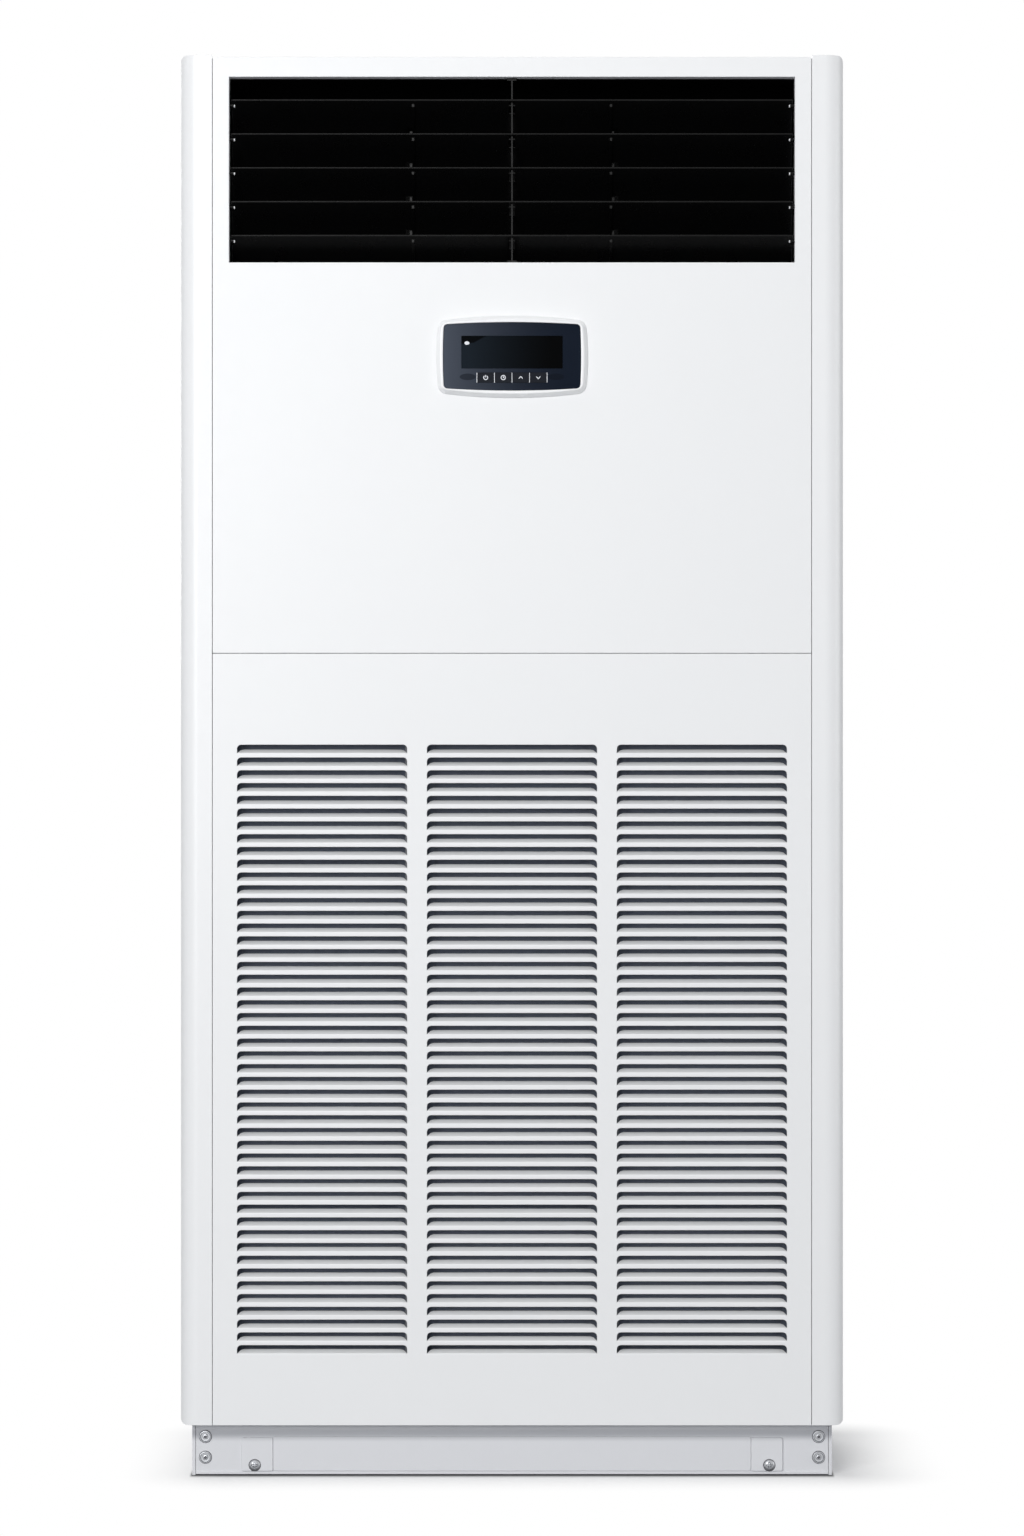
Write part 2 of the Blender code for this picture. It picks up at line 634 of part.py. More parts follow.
def louvre_slot(left, low):
    """The opening of one louvre, with its two upper corners rounded."""
    right = left + LOUVRE_LENGTH
    high = low + LOUVRE_HEIGHT
    inset = LOUVRE_CORNER
    outline = [(left, low), (right, low)]
    outline += arc((right - inset, high - inset), inset, 0.0, math.pi / 2, LOUVRE_CORNER_STEPS)
    outline += arc((left + inset, high - inset), inset, math.pi / 2, math.pi, LOUVRE_CORNER_STEPS)
    return prism(outline, "Y", FRONT_Y - CUT_OVERRUN, FRONT_Y + SHEET + CUT_OVERRUN)


def louvre_tongue(left, low):
    """The tongue of one louvre, bent inward about the slot's lower edge and narrower at its tip."""
    across = (math.sin(LOUVRE_BEND), math.cos(LOUVRE_BEND))
    below = (across[1], -across[0])
    root = (FRONT_Y + SHEET / 4, low - LOUVRE_ROOT)

    def section(x, reach):
        upper = Vector((x, root[0] + across[0] * reach, root[1] + across[1] * reach))
        thickness = SHEET * LOUVRE_THINNING
        return upper, upper + Vector((0.0, below[0] * thickness, below[1] * thickness))

    insets = [(LOUVRE_SIDE_GAP, 0.0), (LOUVRE_TAPER, LOUVRE_HEIGHT - LOUVRE_CORNER / 2),
              (LOUVRE_TAPER + LOUVRE_CORNER / 2, LOUVRE_HEIGHT)]
    plan = [(left + inset, reach) for inset, reach in insets]
    plan += [(left + LOUVRE_LENGTH - inset, reach) for inset, reach in reversed(insets)]
    pairs = [section(x, reach) for x, reach in plan]
    return loft([[pair[0] for pair in pairs], [pair[1] for pair in pairs]])


def build_lower_front_panel():
    """One pressed sheet with three columns of louvres lanced and bent inward."""
    panel = folded_panel("lower_front_panel", LOWER_PANEL_BOTTOM, LOWER_PANEL_TOP)
    places = list(louvre_origins())
    cut(panel, merged(*[louvre_slot(left, low) for left, low in places]))
    join(panel, merged(*[louvre_tongue(left, low) for left, low in places]))


def build_filters():
    """The frame behind the louvres and the three filters that stand in it."""
    frame_low = PLINTH_HEIGHT + BASE_EDGE_HEIGHT + FIT_GAP
    frame_high = SPLIT_HEIGHT - CROSS_RAIL_HEIGHT / 2 - FIT_GAP
    frame_back = BEHIND_FLANGE_Y + FILTER_FRAME_DEPTH
    frame_half = TRIM_INNER_X - FIT_GAP
    frame = make_object("filter_frame", block((-frame_half, frame_half),
                                              (BEHIND_FLANGE_Y, frame_back),
                                              (frame_low, frame_high)), GREY_PLASTIC)
    bays = (2 * frame_half - 4 * FILTER_FRAME_BAR) / 3
    low = frame_low + FILTER_FRAME_BAR
    high = frame_high - FILTER_FRAME_BAR
    spans = []
    for index in range(3):
        left = -frame_half + FILTER_FRAME_BAR + index * (bays + FILTER_FRAME_BAR)
        spans.append((left, left + bays))
    cut(frame, merged(*[block(span, (BEHIND_FLANGE_Y - CUT_OVERRUN, frame_back + CUT_OVERRUN),
                              (low, high)) for span in spans]))
    back = frame_back - FIT_GAP
    front = back - FILTER_THICKNESS
    for name, (left, right) in zip(("left", "centre", "right"), spans):
        x_span = (left + FIT_GAP, right - FIT_GAP)
        z_span = (low + FIT_GAP, high - FIT_GAP)
        piece = make_object("air_filter_" + name, block(x_span, (front, back), z_span), FILTER_BLUE)
        cell_step = (z_span[1] - z_span[0] - 2 * FILTER_EDGE + FILTER_RIB) / FILTER_CELLS
        cells = []
        for row in range(FILTER_CELLS):
            cell_low = z_span[0] + FILTER_EDGE + row * cell_step
            cells.append(block((x_span[0] + FILTER_EDGE, x_span[1] - FILTER_EDGE),
                               (front - CUT_OVERRUN, back - FILTER_MESH),
                               (cell_low, cell_low + cell_step - FILTER_RIB)))
        cut(piece, merged(*cells))


# Outlet

def pivot_heights():
    """Height of each blade's pivot axis, from the top blade down."""
    return [FIRST_PIVOT_Z - index * BLADE_PITCH for index in range(BLADE_COUNT)]


def build_upper_front_panel():
    """The upper sheet with the outlet, whose edges are folded back into the cabinet."""
    panel = folded_panel("upper_front_panel", UPPER_PANEL_BOTTOM, BODY_TOP)
    collar = OUTLET_HALF + SHEET
    join(panel, block((-collar, collar), (FRONT_Y + SHEET / 2, FLANGE_BACK_Y),
                      (OUTLET_BOTTOM - SHEET, OUTLET_TOP + SHEET)))
    cut(panel, block((-OUTLET_HALF, OUTLET_HALF), (FRONT_Y - CUT_OVERRUN, FLANGE_BACK_Y + CUT_OVERRUN),
                     (OUTLET_BOTTOM, OUTLET_TOP)))
    radius = PIVOT_RADIUS + 3 * PIVOT_CLEARANCE
    holes = []
    for z in pivot_heights():
        for side in (-1, 1):
            low = min(side * (OUTLET_HALF - SHEET), side * (BEARING_X + SHEET))
            high = max(side * (OUTLET_HALF - SHEET), side * (BEARING_X + SHEET))
            holes.append(prism(circle((PIVOT_Y, z), radius, SMALL_ROUND), "X", low, high))
    cut(panel, merged(*holes))


def build_bearings():
    """Plastic strips outside the outlet's side folds, which the blades' end pins turn in."""
    y_span = (FRONT_Y + SHEET + BEARING_MARGIN, FLANGE_BACK_Y - FIT_GAP)
    heights = pivot_heights()
    for side, name in ((-1, "louvre_bearing_left"), (1, "louvre_bearing_right")):
        mesh = block((BEARING_X, BEARING_X + BEARING_THICKNESS), y_span,
                     (OUTLET_BOTTOM, OUTLET_TOP))
        strip = make_object(name, flipped(mesh, side), GREY_PLASTIC)
        holes = []
        for z in heights:
            outline = circle((PIVOT_Y, z), PIVOT_RADIUS + PIVOT_CLEARANCE, SMALL_ROUND)
            holes.append(prism(outline, "X", BEARING_X - CUT_OVERRUN,
                               BEARING_X + BEARING_THICKNESS + CUT_OVERRUN))
        cut(strip, flipped(merged(*holes), side))


def build_stay():
    """The fixed upright in the middle of the outlet, with a foot at each end."""
    half = STAY_THICKNESS / 2
    y_span = (PIVOT_Y - STAY_AHEAD, PIVOT_Y + STAY_BEHIND)
    low = OUTLET_BOTTOM + FIT_GAP
    high = OUTLET_TOP - FIT_GAP
    stay = make_object("louvre_centre_stay", block((-half, half), y_span, (low, high)),
                       BLACK_PLASTIC)
    foot_y = (y_span[0] + 0.0005, y_span[1] - 0.0005)
    feet = [block((-STAY_FOOT / 2, STAY_FOOT / 2), foot_y, (low, low + STAY_FOOT_THICKNESS)),
            block((-STAY_FOOT / 2, STAY_FOOT / 2), foot_y, (high - STAY_FOOT_THICKNESS, high))]
    join(stay, merged(*feet))
    holes = [prism(circle((PIVOT_Y, z), STAY_PIN_RADIUS + PIVOT_CLEARANCE, SMALL_ROUND), "X",
                   -half - CUT_OVERRUN, half + CUT_OVERRUN) for z in pivot_heights()]
    cut(stay, merged(*holes))


def camber_at(chord_y):
    """Height of the blade's middle surface above its pivot, at a place along the chord."""
    def arch(y):
        share = (y + BLADE_NOSE) / BLADE_CHORD
        return 4.0 * BLADE_CAMBER * share * (1.0 - share)
    return arch(chord_y) - arch(0.0)


def blade_outline():
    """Section of a blade in its own frame: chord along +Y from nose to tail, top side up."""
    upper, lower = [], []
    for index in range(BLADE_STEPS + 1):
        y = -BLADE_NOSE + BLADE_CHORD * index / BLADE_STEPS
        half = BLADE_THICKNESS / 2
        if index in (0, BLADE_STEPS):
            half *= 0.6
        upper.append((y, camber_at(y) + half))
        lower.append((y, camber_at(y) - half))
    return upper + lower[::-1]


def rib_outline():
    """Section of a stiffening rib under the blade, ending in the ear that carries the link pin."""
    points = [(-0.4 * BLADE_NOSE, camber_at(-0.4 * BLADE_NOSE))]
    places = [-0.1 * BLADE_NOSE, 0.35 * BLADE_TAIL, 0.7 * BLADE_TAIL]
    points += [(y, camber_at(y) - BLADE_THICKNESS / 2 - RIB_HEIGHT) for y in places]
    points += arc((CRANK_REACH, 0.0), CRANK_EAR_RADIUS, -0.6 * math.pi, 0.6 * math.pi, 4)
    points += [(y, camber_at(y)) for y in (0.9 * BLADE_TAIL, 0.7 * BLADE_TAIL, 0.35 * BLADE_TAIL)]
    return points


def build_blade(name, pivot_z):
    """One outlet blade with end pins, a window for the stay and a cranked rib on each side."""
    blade = make_object(name, prism(blade_outline(), "X", -BLADE_HALF, BLADE_HALF), BLACK_PLASTIC)
    stay_half = STAY_THICKNESS / 2 + STAY_SIDE_CLEARANCE
    window_front = -(STAY_AHEAD + STAY_BLADE_CLEARANCE) / math.cos(BLADE_STEEPEST)
    window_back = (STAY_BEHIND + STAY_BLADE_CLEARANCE) / math.cos(BLADE_STEEPEST)
    tall = (-BLADE_CHORD / 2, BLADE_CHORD / 2)
    windows = [block((-stay_half, stay_half), (window_front, window_back), tall)]
    for side in (-1, 1):
        near = RIB_OFFSET
        mesh = block((near, near + RIB_THICKNESS / 2 + NOTCH_WIDTH),
                     (BLADE_TAIL - NOTCH_DEPTH, BLADE_TAIL + CUT_OVERRUN), tall)
        windows.append(flipped(mesh, side))
    cut(blade, merged(*windows))
    additions = [prism(circle((0.0, 0.0), STAY_PIN_RADIUS, SMALL_ROUND), "X", -stay_half - 0.001,
                       stay_half + 0.001)]
    for side in (-1, 1):
        additions.append(flipped(prism(rib_outline(), "X", RIB_OFFSET - RIB_THICKNESS / 2,
                                       RIB_OFFSET + RIB_THICKNESS / 2), side))
        additions.append(flipped(prism(circle((0.0, 0.0), PIVOT_BOSS_RADIUS, SMALL_ROUND), "X",
                                       BLADE_HALF - PIVOT_BOSS_LENGTH, BLADE_HALF - 0.0002), side))
    join(blade, merged(*additions))
    pins = []
    for side in (-1, 1):
        pin_end = BEARING_X + BEARING_THICKNESS
        pins.append(flipped(prism(circle((0.0, 0.0), PIVOT_RADIUS, SMALL_ROUND), "X",
                                  BLADE_HALF - PIVOT_BOSS_LENGTH / 2, pin_end), side))
        link_pin_end = LINK_X + LINK_THICKNESS + FIT_GAP
        pins.append(flipped(prism(circle((CRANK_REACH, 0.0), LINK_PIN_RADIUS, SMALL_ROUND), "X",
                                  RIB_OFFSET, link_pin_end), side))
    join(blade, merged(*pins))
    blade.location = (0.0, PIVOT_Y, pivot_z)
    blade.rotation_euler = (-BLADE_REST_SLOPE, 0.0, 0.0)
    shade_round(blade)
    return blade


def build_links():
    """The two upright rods behind the blades, with a hole on every blade's crank pin."""
    crank_y = CRANK_REACH * math.cos(BLADE_REST_SLOPE)
    crank_z = -CRANK_REACH * math.sin(BLADE_REST_SLOPE)
    heights = pivot_heights()
    master = heights[len(heights) // 2]
    for side, name in ((-1, "louvre_link_left"), (1, "louvre_link_right")):
        low = heights[-1] - master - LINK_OVERHANG
        high = heights[0] - master + LINK_OVERHANG
        mesh = block((LINK_X, LINK_X + LINK_THICKNESS), (-LINK_WIDTH / 2, LINK_WIDTH / 2),
                     (low, high))
        rod = make_object(name, flipped(mesh, side), BLACK_PLASTIC)
        holes = []
        for z in heights:
            outline = circle((0.0, z - master), LINK_PIN_RADIUS + PIVOT_CLEARANCE, SMALL_ROUND)
            holes.append(prism(outline, "X", LINK_X - CUT_OVERRUN,
                               LINK_X + LINK_THICKNESS + CUT_OVERRUN))
        cut(rod, flipped(merged(*holes), side))
        rod.location = (0.0, PIVOT_Y + crank_y, master + crank_z)


def build_duct():
    """The dark outlet duct: a front apron, a back wall that curves over the top and two cheeks."""
    half = OUTLET_HALF + DUCT_SIDE_GAP
    top = OUTLET_TOP + SHEET
    low = OUTLET_BOTTOM - DUCT_DROP
    front = BEHIND_FLANGE_Y
    back = BEHIND_FLANGE_Y + DUCT_DEPTH
    centre = (back - DUCT_BEND_RADIUS, top - DUCT_BEND_RADIUS)
    outer = arc(centre, DUCT_BEND_RADIUS, 0.0, math.pi / 2, DUCT_BEND_STEPS)
    inner = arc(centre, DUCT_BEND_RADIUS - DUCT_WALL, math.pi / 2, 0.0, DUCT_BEND_STEPS)
    shell = [(back, low)] + outer + [(front, top), (front, top - DUCT_WALL)] + inner
    shell += [(back - DUCT_WALL, low)]
    duct = make_object("outlet_duct", prism(shell, "X", -half, half), BLACK_PLASTIC)
    cheek = [(front, low), (back - DUCT_WALL / 2, low)]
    cheek += arc(centre, DUCT_BEND_RADIUS - DUCT_WALL / 2, 0.0, math.pi / 2, DUCT_BEND_STEPS)
    cheek += [(front, top - DUCT_WALL / 2)]
    cheeks = [prism(cheek, "X", -half - DUCT_WALL / 2, -half + DUCT_WALL / 2),
              prism(cheek, "X", half - DUCT_WALL / 2, half + DUCT_WALL / 2)]
    join(duct, merged(*cheeks))
    join(duct, block((-half, half), (front, front + DUCT_WALL),
                     (low, OUTLET_BOTTOM - SHEET / 2)))
    shade_round(duct)


# Control panel

def bowed_outline(corner_x, corner_z, radius, lean_top, lean_side, steps=3, bow_steps=4):
    """A rounded rectangle whose sides bow outward and leave the corners without a kink."""
    corners = []
    for sign_x, sign_z, start in ((1, 1, 0.0), (-1, 1, 0.5), (-1, -1, 1.0), (1, -1, 1.5)):
        first, last = (lean_side, lean_top) if start in (0.0, 1.0) else (lean_top, lean_side)
        begin = start * math.pi + first
        end = (start + 0.5) * math.pi - last
        corners.append(arc((sign_x * corner_x, sign_z * corner_z), radius, begin, end, steps))
    outline = []
    for index, corner in enumerate(corners):
        outline += corner
        after = corners[(index + 1) % 4][0]
        before = corner[-1]
        lean = lean_top if index in (0, 2) else lean_side
        run = math.hypot(after[0] - before[0], after[1] - before[1])
        sag = run * math.tan(lean) / 4.0
        outward = ((after[1] - before[1]) / run, -(after[0] - before[0]) / run)
        for step in range(1, bow_steps):
            share = step / bow_steps
            rise = 4.0 * sag * share * (1.0 - share)
            outline.append((before[0] + (after[0] - before[0]) * share + outward[0] * rise,
                            before[1] + (after[1] - before[1]) * share + outward[1] * rise))
    return outline


def fascia_outline(clearance):
    """The fascia's outline, or the bezel's opening around it when the clearance is positive."""
    radius = FASCIA_CORNER_RADIUS + clearance
    return bowed_outline(FASCIA_WIDTH / 2 - FASCIA_CORNER_RADIUS,
                         FASCIA_HEIGHT / 2 - FASCIA_CORNER_RADIUS, radius,
                         BEZEL_BOW_TOP / 2, BEZEL_BOW_SIDE / 2)


def raised(outline, y):
    """An outline round the control panel's centre, at a depth."""
    return [Vector((a, y, BEZEL_CENTRE_Z + b)) for a, b in outline]


def bezel_ring(inset, y):
    """The bezel's outer outline moved inward by an inset, at a depth."""
    outline = bowed_outline(BEZEL_CORNER_X, BEZEL_CORNER_Z, BEZEL_CORNER_RADIUS - inset,
                            BEZEL_BOW_TOP, BEZEL_BOW_SIDE)
    return raised(outline, y)


def build_bezel():
    """A moulded ring: a soft outer slope up to a crest, then a short wall down to the fascia."""
    crest = FRONT_Y - BEZEL_RAISE
    seat = FRONT_Y - FIT_GAP
    crest_end = BEZEL_CREST_INSET + BEZEL_CREST_WIDTH
    rings = [bezel_ring(0.0, seat),
             bezel_ring(0.0, FRONT_Y - 0.15 * BEZEL_RAISE),
             bezel_ring(0.35 * BEZEL_CREST_INSET, FRONT_Y - 0.60 * BEZEL_RAISE),
             bezel_ring(0.75 * BEZEL_CREST_INSET, FRONT_Y - 0.92 * BEZEL_RAISE),
             bezel_ring(BEZEL_CREST_INSET, crest),
             bezel_ring(crest_end, crest + 0.1 * BEZEL_RAISE),
             raised(fascia_outline(FIT_GAP), FASCIA_FACE_Y),
             raised(fascia_outline(FIT_GAP), seat)]
    make_object("control_bezel", loft(rings, closed_ring=True), MOULDING, math.radians(40.0))


def key_centres():
    """Distance of each key from the middle of the fascia, left to right."""
    return [(index - (KEY_COUNT - 1) / 2) * KEY_PITCH for index in range(KEY_COUNT)]


def build_fascia():
    """The dark fascia with pockets for the display window and the keys, and what fills them."""
    seat = FRONT_Y - FIT_GAP
    fascia = make_object("control_fascia", loft([raised(fascia_outline(0.0), FASCIA_FACE_Y),
                                                 raised(fascia_outline(0.0), seat)]), FASCIA_BLUE)
    window_z = BEZEL_CENTRE_Z + DISPLAY_RISE
    half_x = DISPLAY_WIDTH / 2
    half_z = DISPLAY_HEIGHT / 2
    pocket_front = FASCIA_FACE_Y - CUT_OVERRUN
    pockets = [block((-half_x, half_x), (pocket_front, FASCIA_FACE_Y + DISPLAY_DEPTH),
                     (window_z - half_z, window_z + half_z))]
    key_z = BEZEL_CENTRE_Z - KEY_DROP
    key_half_x = KEY_WIDTH / 2
    key_half_z = KEY_HEIGHT / 2
    for x in key_centres():
        pockets.append(block((x - key_half_x, x + key_half_x),
                             (pocket_front, FASCIA_FACE_Y + KEY_DEPTH),
                             (key_z - key_half_z, key_z + key_half_z)))
    cut(fascia, merged(*pockets))
    gap = FIT_GAP
    make_object("display_window", block((-half_x + gap, half_x - gap),
                                        (FASCIA_FACE_Y, FASCIA_FACE_Y + DISPLAY_DEPTH - gap),
                                        (window_z - half_z + gap, window_z + half_z - gap)),
                DISPLAY_BLACK)
    for index, x in enumerate(key_centres()):
        mesh = block((x - key_half_x + gap, x + key_half_x - gap),
                     (FASCIA_FACE_Y - KEY_RISE, FASCIA_FACE_Y + KEY_DEPTH - gap),
                     (key_z - key_half_z + gap, key_z + key_half_z - gap))
        make_object(f"key_{index + 1}", mesh, FASCIA_BLUE)


def clear_scene():
    """Remove whatever the scene holds."""
    for piece in list(bpy.data.objects):
        bpy.data.objects.remove(piece)


def build():
    """Build the whole unit."""
    clear_scene()
    build_plinth()
    build_trays()
    build_side_panels()
    build_back()
    build_corner_trims()
    build_cross_rail()
    build_lower_front_panel()
    build_filters()
    build_upper_front_panel()
    build_duct()
    build_bearings()
    build_stay()
    for index, height in enumerate(pivot_heights()):
        build_blade(f"blade_{index + 1}", height)
    build_links()
    build_bezel()
    build_fascia()


build()
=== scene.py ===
"""Floor-standing cabinet air conditioner, dressed for the camera.

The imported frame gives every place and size. Each operator works out one piece, or one group of
like pieces, as surfaces on grids of points, and gives them their finish. Metres, +Z up, and the
front faces -Y.
"""
import json
import math

import bmesh
import bpy
import numpy as np
from bpy.props import FloatProperty, FloatVectorProperty, IntProperty, PointerProperty
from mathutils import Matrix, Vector

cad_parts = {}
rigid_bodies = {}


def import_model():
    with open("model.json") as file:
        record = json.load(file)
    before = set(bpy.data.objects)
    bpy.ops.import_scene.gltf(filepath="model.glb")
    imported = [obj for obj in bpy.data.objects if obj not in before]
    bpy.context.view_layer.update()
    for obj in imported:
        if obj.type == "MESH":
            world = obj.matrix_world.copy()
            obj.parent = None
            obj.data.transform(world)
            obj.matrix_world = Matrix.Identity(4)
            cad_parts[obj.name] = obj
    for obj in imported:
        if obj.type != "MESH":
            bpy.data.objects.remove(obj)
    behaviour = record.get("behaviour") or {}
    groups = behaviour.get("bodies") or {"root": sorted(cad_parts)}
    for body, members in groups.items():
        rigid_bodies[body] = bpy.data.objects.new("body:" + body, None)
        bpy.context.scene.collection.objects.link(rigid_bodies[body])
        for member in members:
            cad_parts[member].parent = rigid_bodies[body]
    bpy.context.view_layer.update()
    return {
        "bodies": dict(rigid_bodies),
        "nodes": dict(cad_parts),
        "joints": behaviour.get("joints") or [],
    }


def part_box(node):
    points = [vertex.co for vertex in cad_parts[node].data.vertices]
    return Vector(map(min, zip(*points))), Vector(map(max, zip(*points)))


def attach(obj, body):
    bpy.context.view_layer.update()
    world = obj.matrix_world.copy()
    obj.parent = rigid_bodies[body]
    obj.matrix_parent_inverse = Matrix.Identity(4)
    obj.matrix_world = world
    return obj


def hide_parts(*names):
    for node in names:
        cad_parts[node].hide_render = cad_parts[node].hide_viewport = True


bl_info = {
    "name": "Floor-Standing Air Conditioner",
    "version": (1, 0, 0),
    "blender": (4, 5, 0),
    "location": "3D View > Sidebar > Air Conditioner",
    "description": "Sheet-metal, moulded and pressed pieces of a cabinet air conditioner",
    "category": "Add Mesh",
}

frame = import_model()

UPPER_LOW, UPPER_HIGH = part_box("upper_front_panel")
LOWER_LOW, LOWER_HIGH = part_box("lower_front_panel")
BEARING_LOW, BEARING_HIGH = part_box("louvre_bearing_right")
COLUMN_LOW, COLUMN_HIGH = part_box("right_corner_trim")
BEZEL_LOW, BEZEL_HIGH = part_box("control_bezel")
FASCIA_LOW, FASCIA_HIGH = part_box("control_fascia")
DISPLAY_LOW, DISPLAY_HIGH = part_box("display_window")

FRONT_Y = UPPER_LOW.y
FLANGE_BACK_Y = UPPER_HIGH.y
FIT_GAP = 0.0003
PRINT_LIFT = 0.00002
SIDES = ((-1, "left"), (1, "right"))
WHITE = (1.0, 1.0, 1.0)
FASCIA_CENTRE = (FASCIA_LOW + FASCIA_HIGH) / 2
BLADE_NAMES = [name for name in sorted(frame["bodies"]) if name.startswith("blade_")]


# Sizes and colours

def length(description, default):
    """A length in metres."""
    return FloatProperty(description=description, default=default, unit="LENGTH", precision=5)


def angle(description, degrees):
    """An angle, given in degrees and kept in radians."""
    return FloatProperty(description=description, default=math.radians(degrees),
                         subtype="ANGLE", unit="ROTATION")


def count(description, default):
    """A whole number of steps or pieces."""
    return IntProperty(description=description, default=default, min=1)


def amount(description, default):
    """A plain number."""
    return FloatProperty(description=description, default=default, min=0.0)


def colour(description, default):
    """A linear colour."""
    return FloatVectorProperty(description=description, default=default, subtype="COLOR",
                               size=3, min=0.0, max=1.0)


class SheetSettings(bpy.types.PropertyGroup):
    thickness: length("Sheet steel of the front panels", 0.0012)
    bend_radius: length("Outside radius of the folded edges", 0.0007)
    bend_steps: count("Faces round a folded edge", 4)


class OutletSettings(bpy.types.PropertyGroup):
    side_gap: length("From the opening's side to the bearing strip", 0.0015)
    edge_radius: length("Radius of the edge round the opening", 0.0009)


class LouvreSettings(bpy.types.PropertyGroup):
    side_margin: length("From the panel's edge to the first column", 0.0320)
    top_margin: length("From the panel's top to the first slot", 0.1187)
    columns: count("Columns of louvres", 3)
    rows: count("Louvres in a column", 48)
    column_gap: length("Plain sheet between two columns", 0.026)
    pitch: length("Height from one louvre to the next", 0.01662)
    height: length("Height of a slot", 0.0108)
    corner: length("Radius of the slot's upper corners", 0.0050)
    roll: length("How far the punched edge is drawn in", 0.0005)
    bend: angle("Angle that a tongue is bent inward by", 63.0)
    bend_radius: length("Outside radius at the root of a tongue", 0.0016)
    taper: length("How much a tongue narrows on each side", 0.0062)


class ColumnSettings(bpy.types.PropertyGroup):
    radius: length("Outer front edge of a corner column", 0.024)
    end_radius: length("Outer corner at the top and bottom", 0.008)
    edge_radius: length("Small round on every other edge", 0.0004)
    wall: length("Wall of the moulding", 0.0024)


class BladeSettings(bpy.types.PropertyGroup):
    end_gap: length("From a blade's end to the opening's side", 0.0025)
    pivot_setback: length("Pivot behind the panel's face", 0.012)
    nose: length("From the pivot to the front edge", 0.011)
    chord: length("Front edge to back edge", 0.054)
    thickness: length("Blade at its middle", 0.0022)
    camber: length("Rise of the curved blade", 0.003)
    slope: angle("Slope at rest, nose up", 45.0)
    window_half: length("Half the window round the stay", 0.0036)
    window_front: length("From the pivot to the window's front", 0.0076)
    window_back: length("From the pivot to the window's back", 0.013)
    rib_offset: length("Rib from the middle of the blade", 0.129)
    rib_height: length("Rib below the blade", 0.004)
    rib_thickness: length("Thickness of a rib", 0.003)
    crank_reach: length("From the pivot to the link's pin", 0.050)
    notch_width: length("Room for the link at the back edge", 0.0085)
    notch_depth: length("How far the notch reaches in", 0.0065)
    edge_radius: length("Round on the blade's edges", 0.0009)
    ear_radius: length("Round end of a crank", 0.0036)
    pin_radius: length("Pins of the stay and the links", 0.0014)
    link_pin: length("How far a link's pin stands out", 0.0050)
    boss_radius: length("Boss at a blade's end", 0.0034)
    end_pin_radius: length("Pin in the side bearing", 0.0020)
    end_pin: length("How far it stands out", 0.0045)
    clip_radius: length("Clip ring round the end pin", 0.0026)
    clip_inset: length("Clip ring from the blade's end", 0.0046)
    clip_width: length("Width of the clip ring", 0.0016)


class BezelSettings(bpy.types.PropertyGroup):
    corner_radius: length("Outer corners in front view", 0.013)
    bow_top: angle("Lean of the top and bottom sides at the corners", 7.0)
    bow_side: angle("Lean of the left and right sides", 6.0)
    slope_width: length("Width of the plain outer slope", 0.0044)
    crest_start: length("Where the slope has turned into the flat crest", 0.0056)
    inner_corner: length("Corners of the opening round the fascia", 0.0053)
    bow_x: length("How far the left and right sides bow out", 0.0020)
    bow_z: length("How far the top and bottom sides bow out", 0.0048)
    inner_bow: length("How far the opening's ends bow out", 0.0010)
    inner_half: length("Half the opening's height at its corners", 0.0416)


class KeypadSettings(bpy.types.PropertyGroup):
    divider_width: length("Pale line between two keys", 0.0008)
    symbol_size: length("Height of a key's symbol", 0.0062)
    print_depth: length("Thickness of the printed lines", 0.00008)
    lamp_half_x: length("Half the width of the oval lamp mark", 0.0033)
    lamp_half_z: length("Half the height of the lamp mark", 0.0023)
    lamp_from_left: length("Lamp mark from the window's left", 0.0070)
    lamp_from_top: length("Lamp mark from the window's top", 0.0092)


class PlinthSettings(bpy.types.PropertyGroup):
    sheet: length("Steel of the rails", 0.002)
    hem_height: length("Height of the folded lower edge", 0.005)
    hem_depth: length("How far the folded edge stands out", 0.0015)
    shadow_gap: length("From the floor to the folded edge", 0.0009)
    soft: length("Quarter round where the sheet turns", 0.001)
    cover_corner: length("Corners of the cover plate", 0.003)
    cover_edge: length("Round on the cover plate's edge", 0.0005)
    clip_corner: length("Corners of a clip plate", 0.0022)
    clip_edge: length("Round on a clip plate's edge", 0.0008)


class FastenerSettings(bpy.types.PropertyGroup):
    bolt_radius: length("Flange of a plinth bolt", 0.0078)
    screw_radius: length("Head of a plinth screw", 0.0074)
    bolt_offset: length("Bolts from the middle of the plinth", 0.400)
    bolt_upper: length("Upper bolt above the floor", 0.0500)
    bolt_lower: length("Lower bolt above the floor", 0.0230)
    bolt_seat: length("Bolts' seat behind the rail's hem", 0.0017)
    screw_inset: length("Screw from the clip's outer end", 0.0175)
    screw_height: length("Screw above the clip's lower edge", 0.0078)
    screw_seat: length("Screw's seat behind the clip's face", 0.0002)


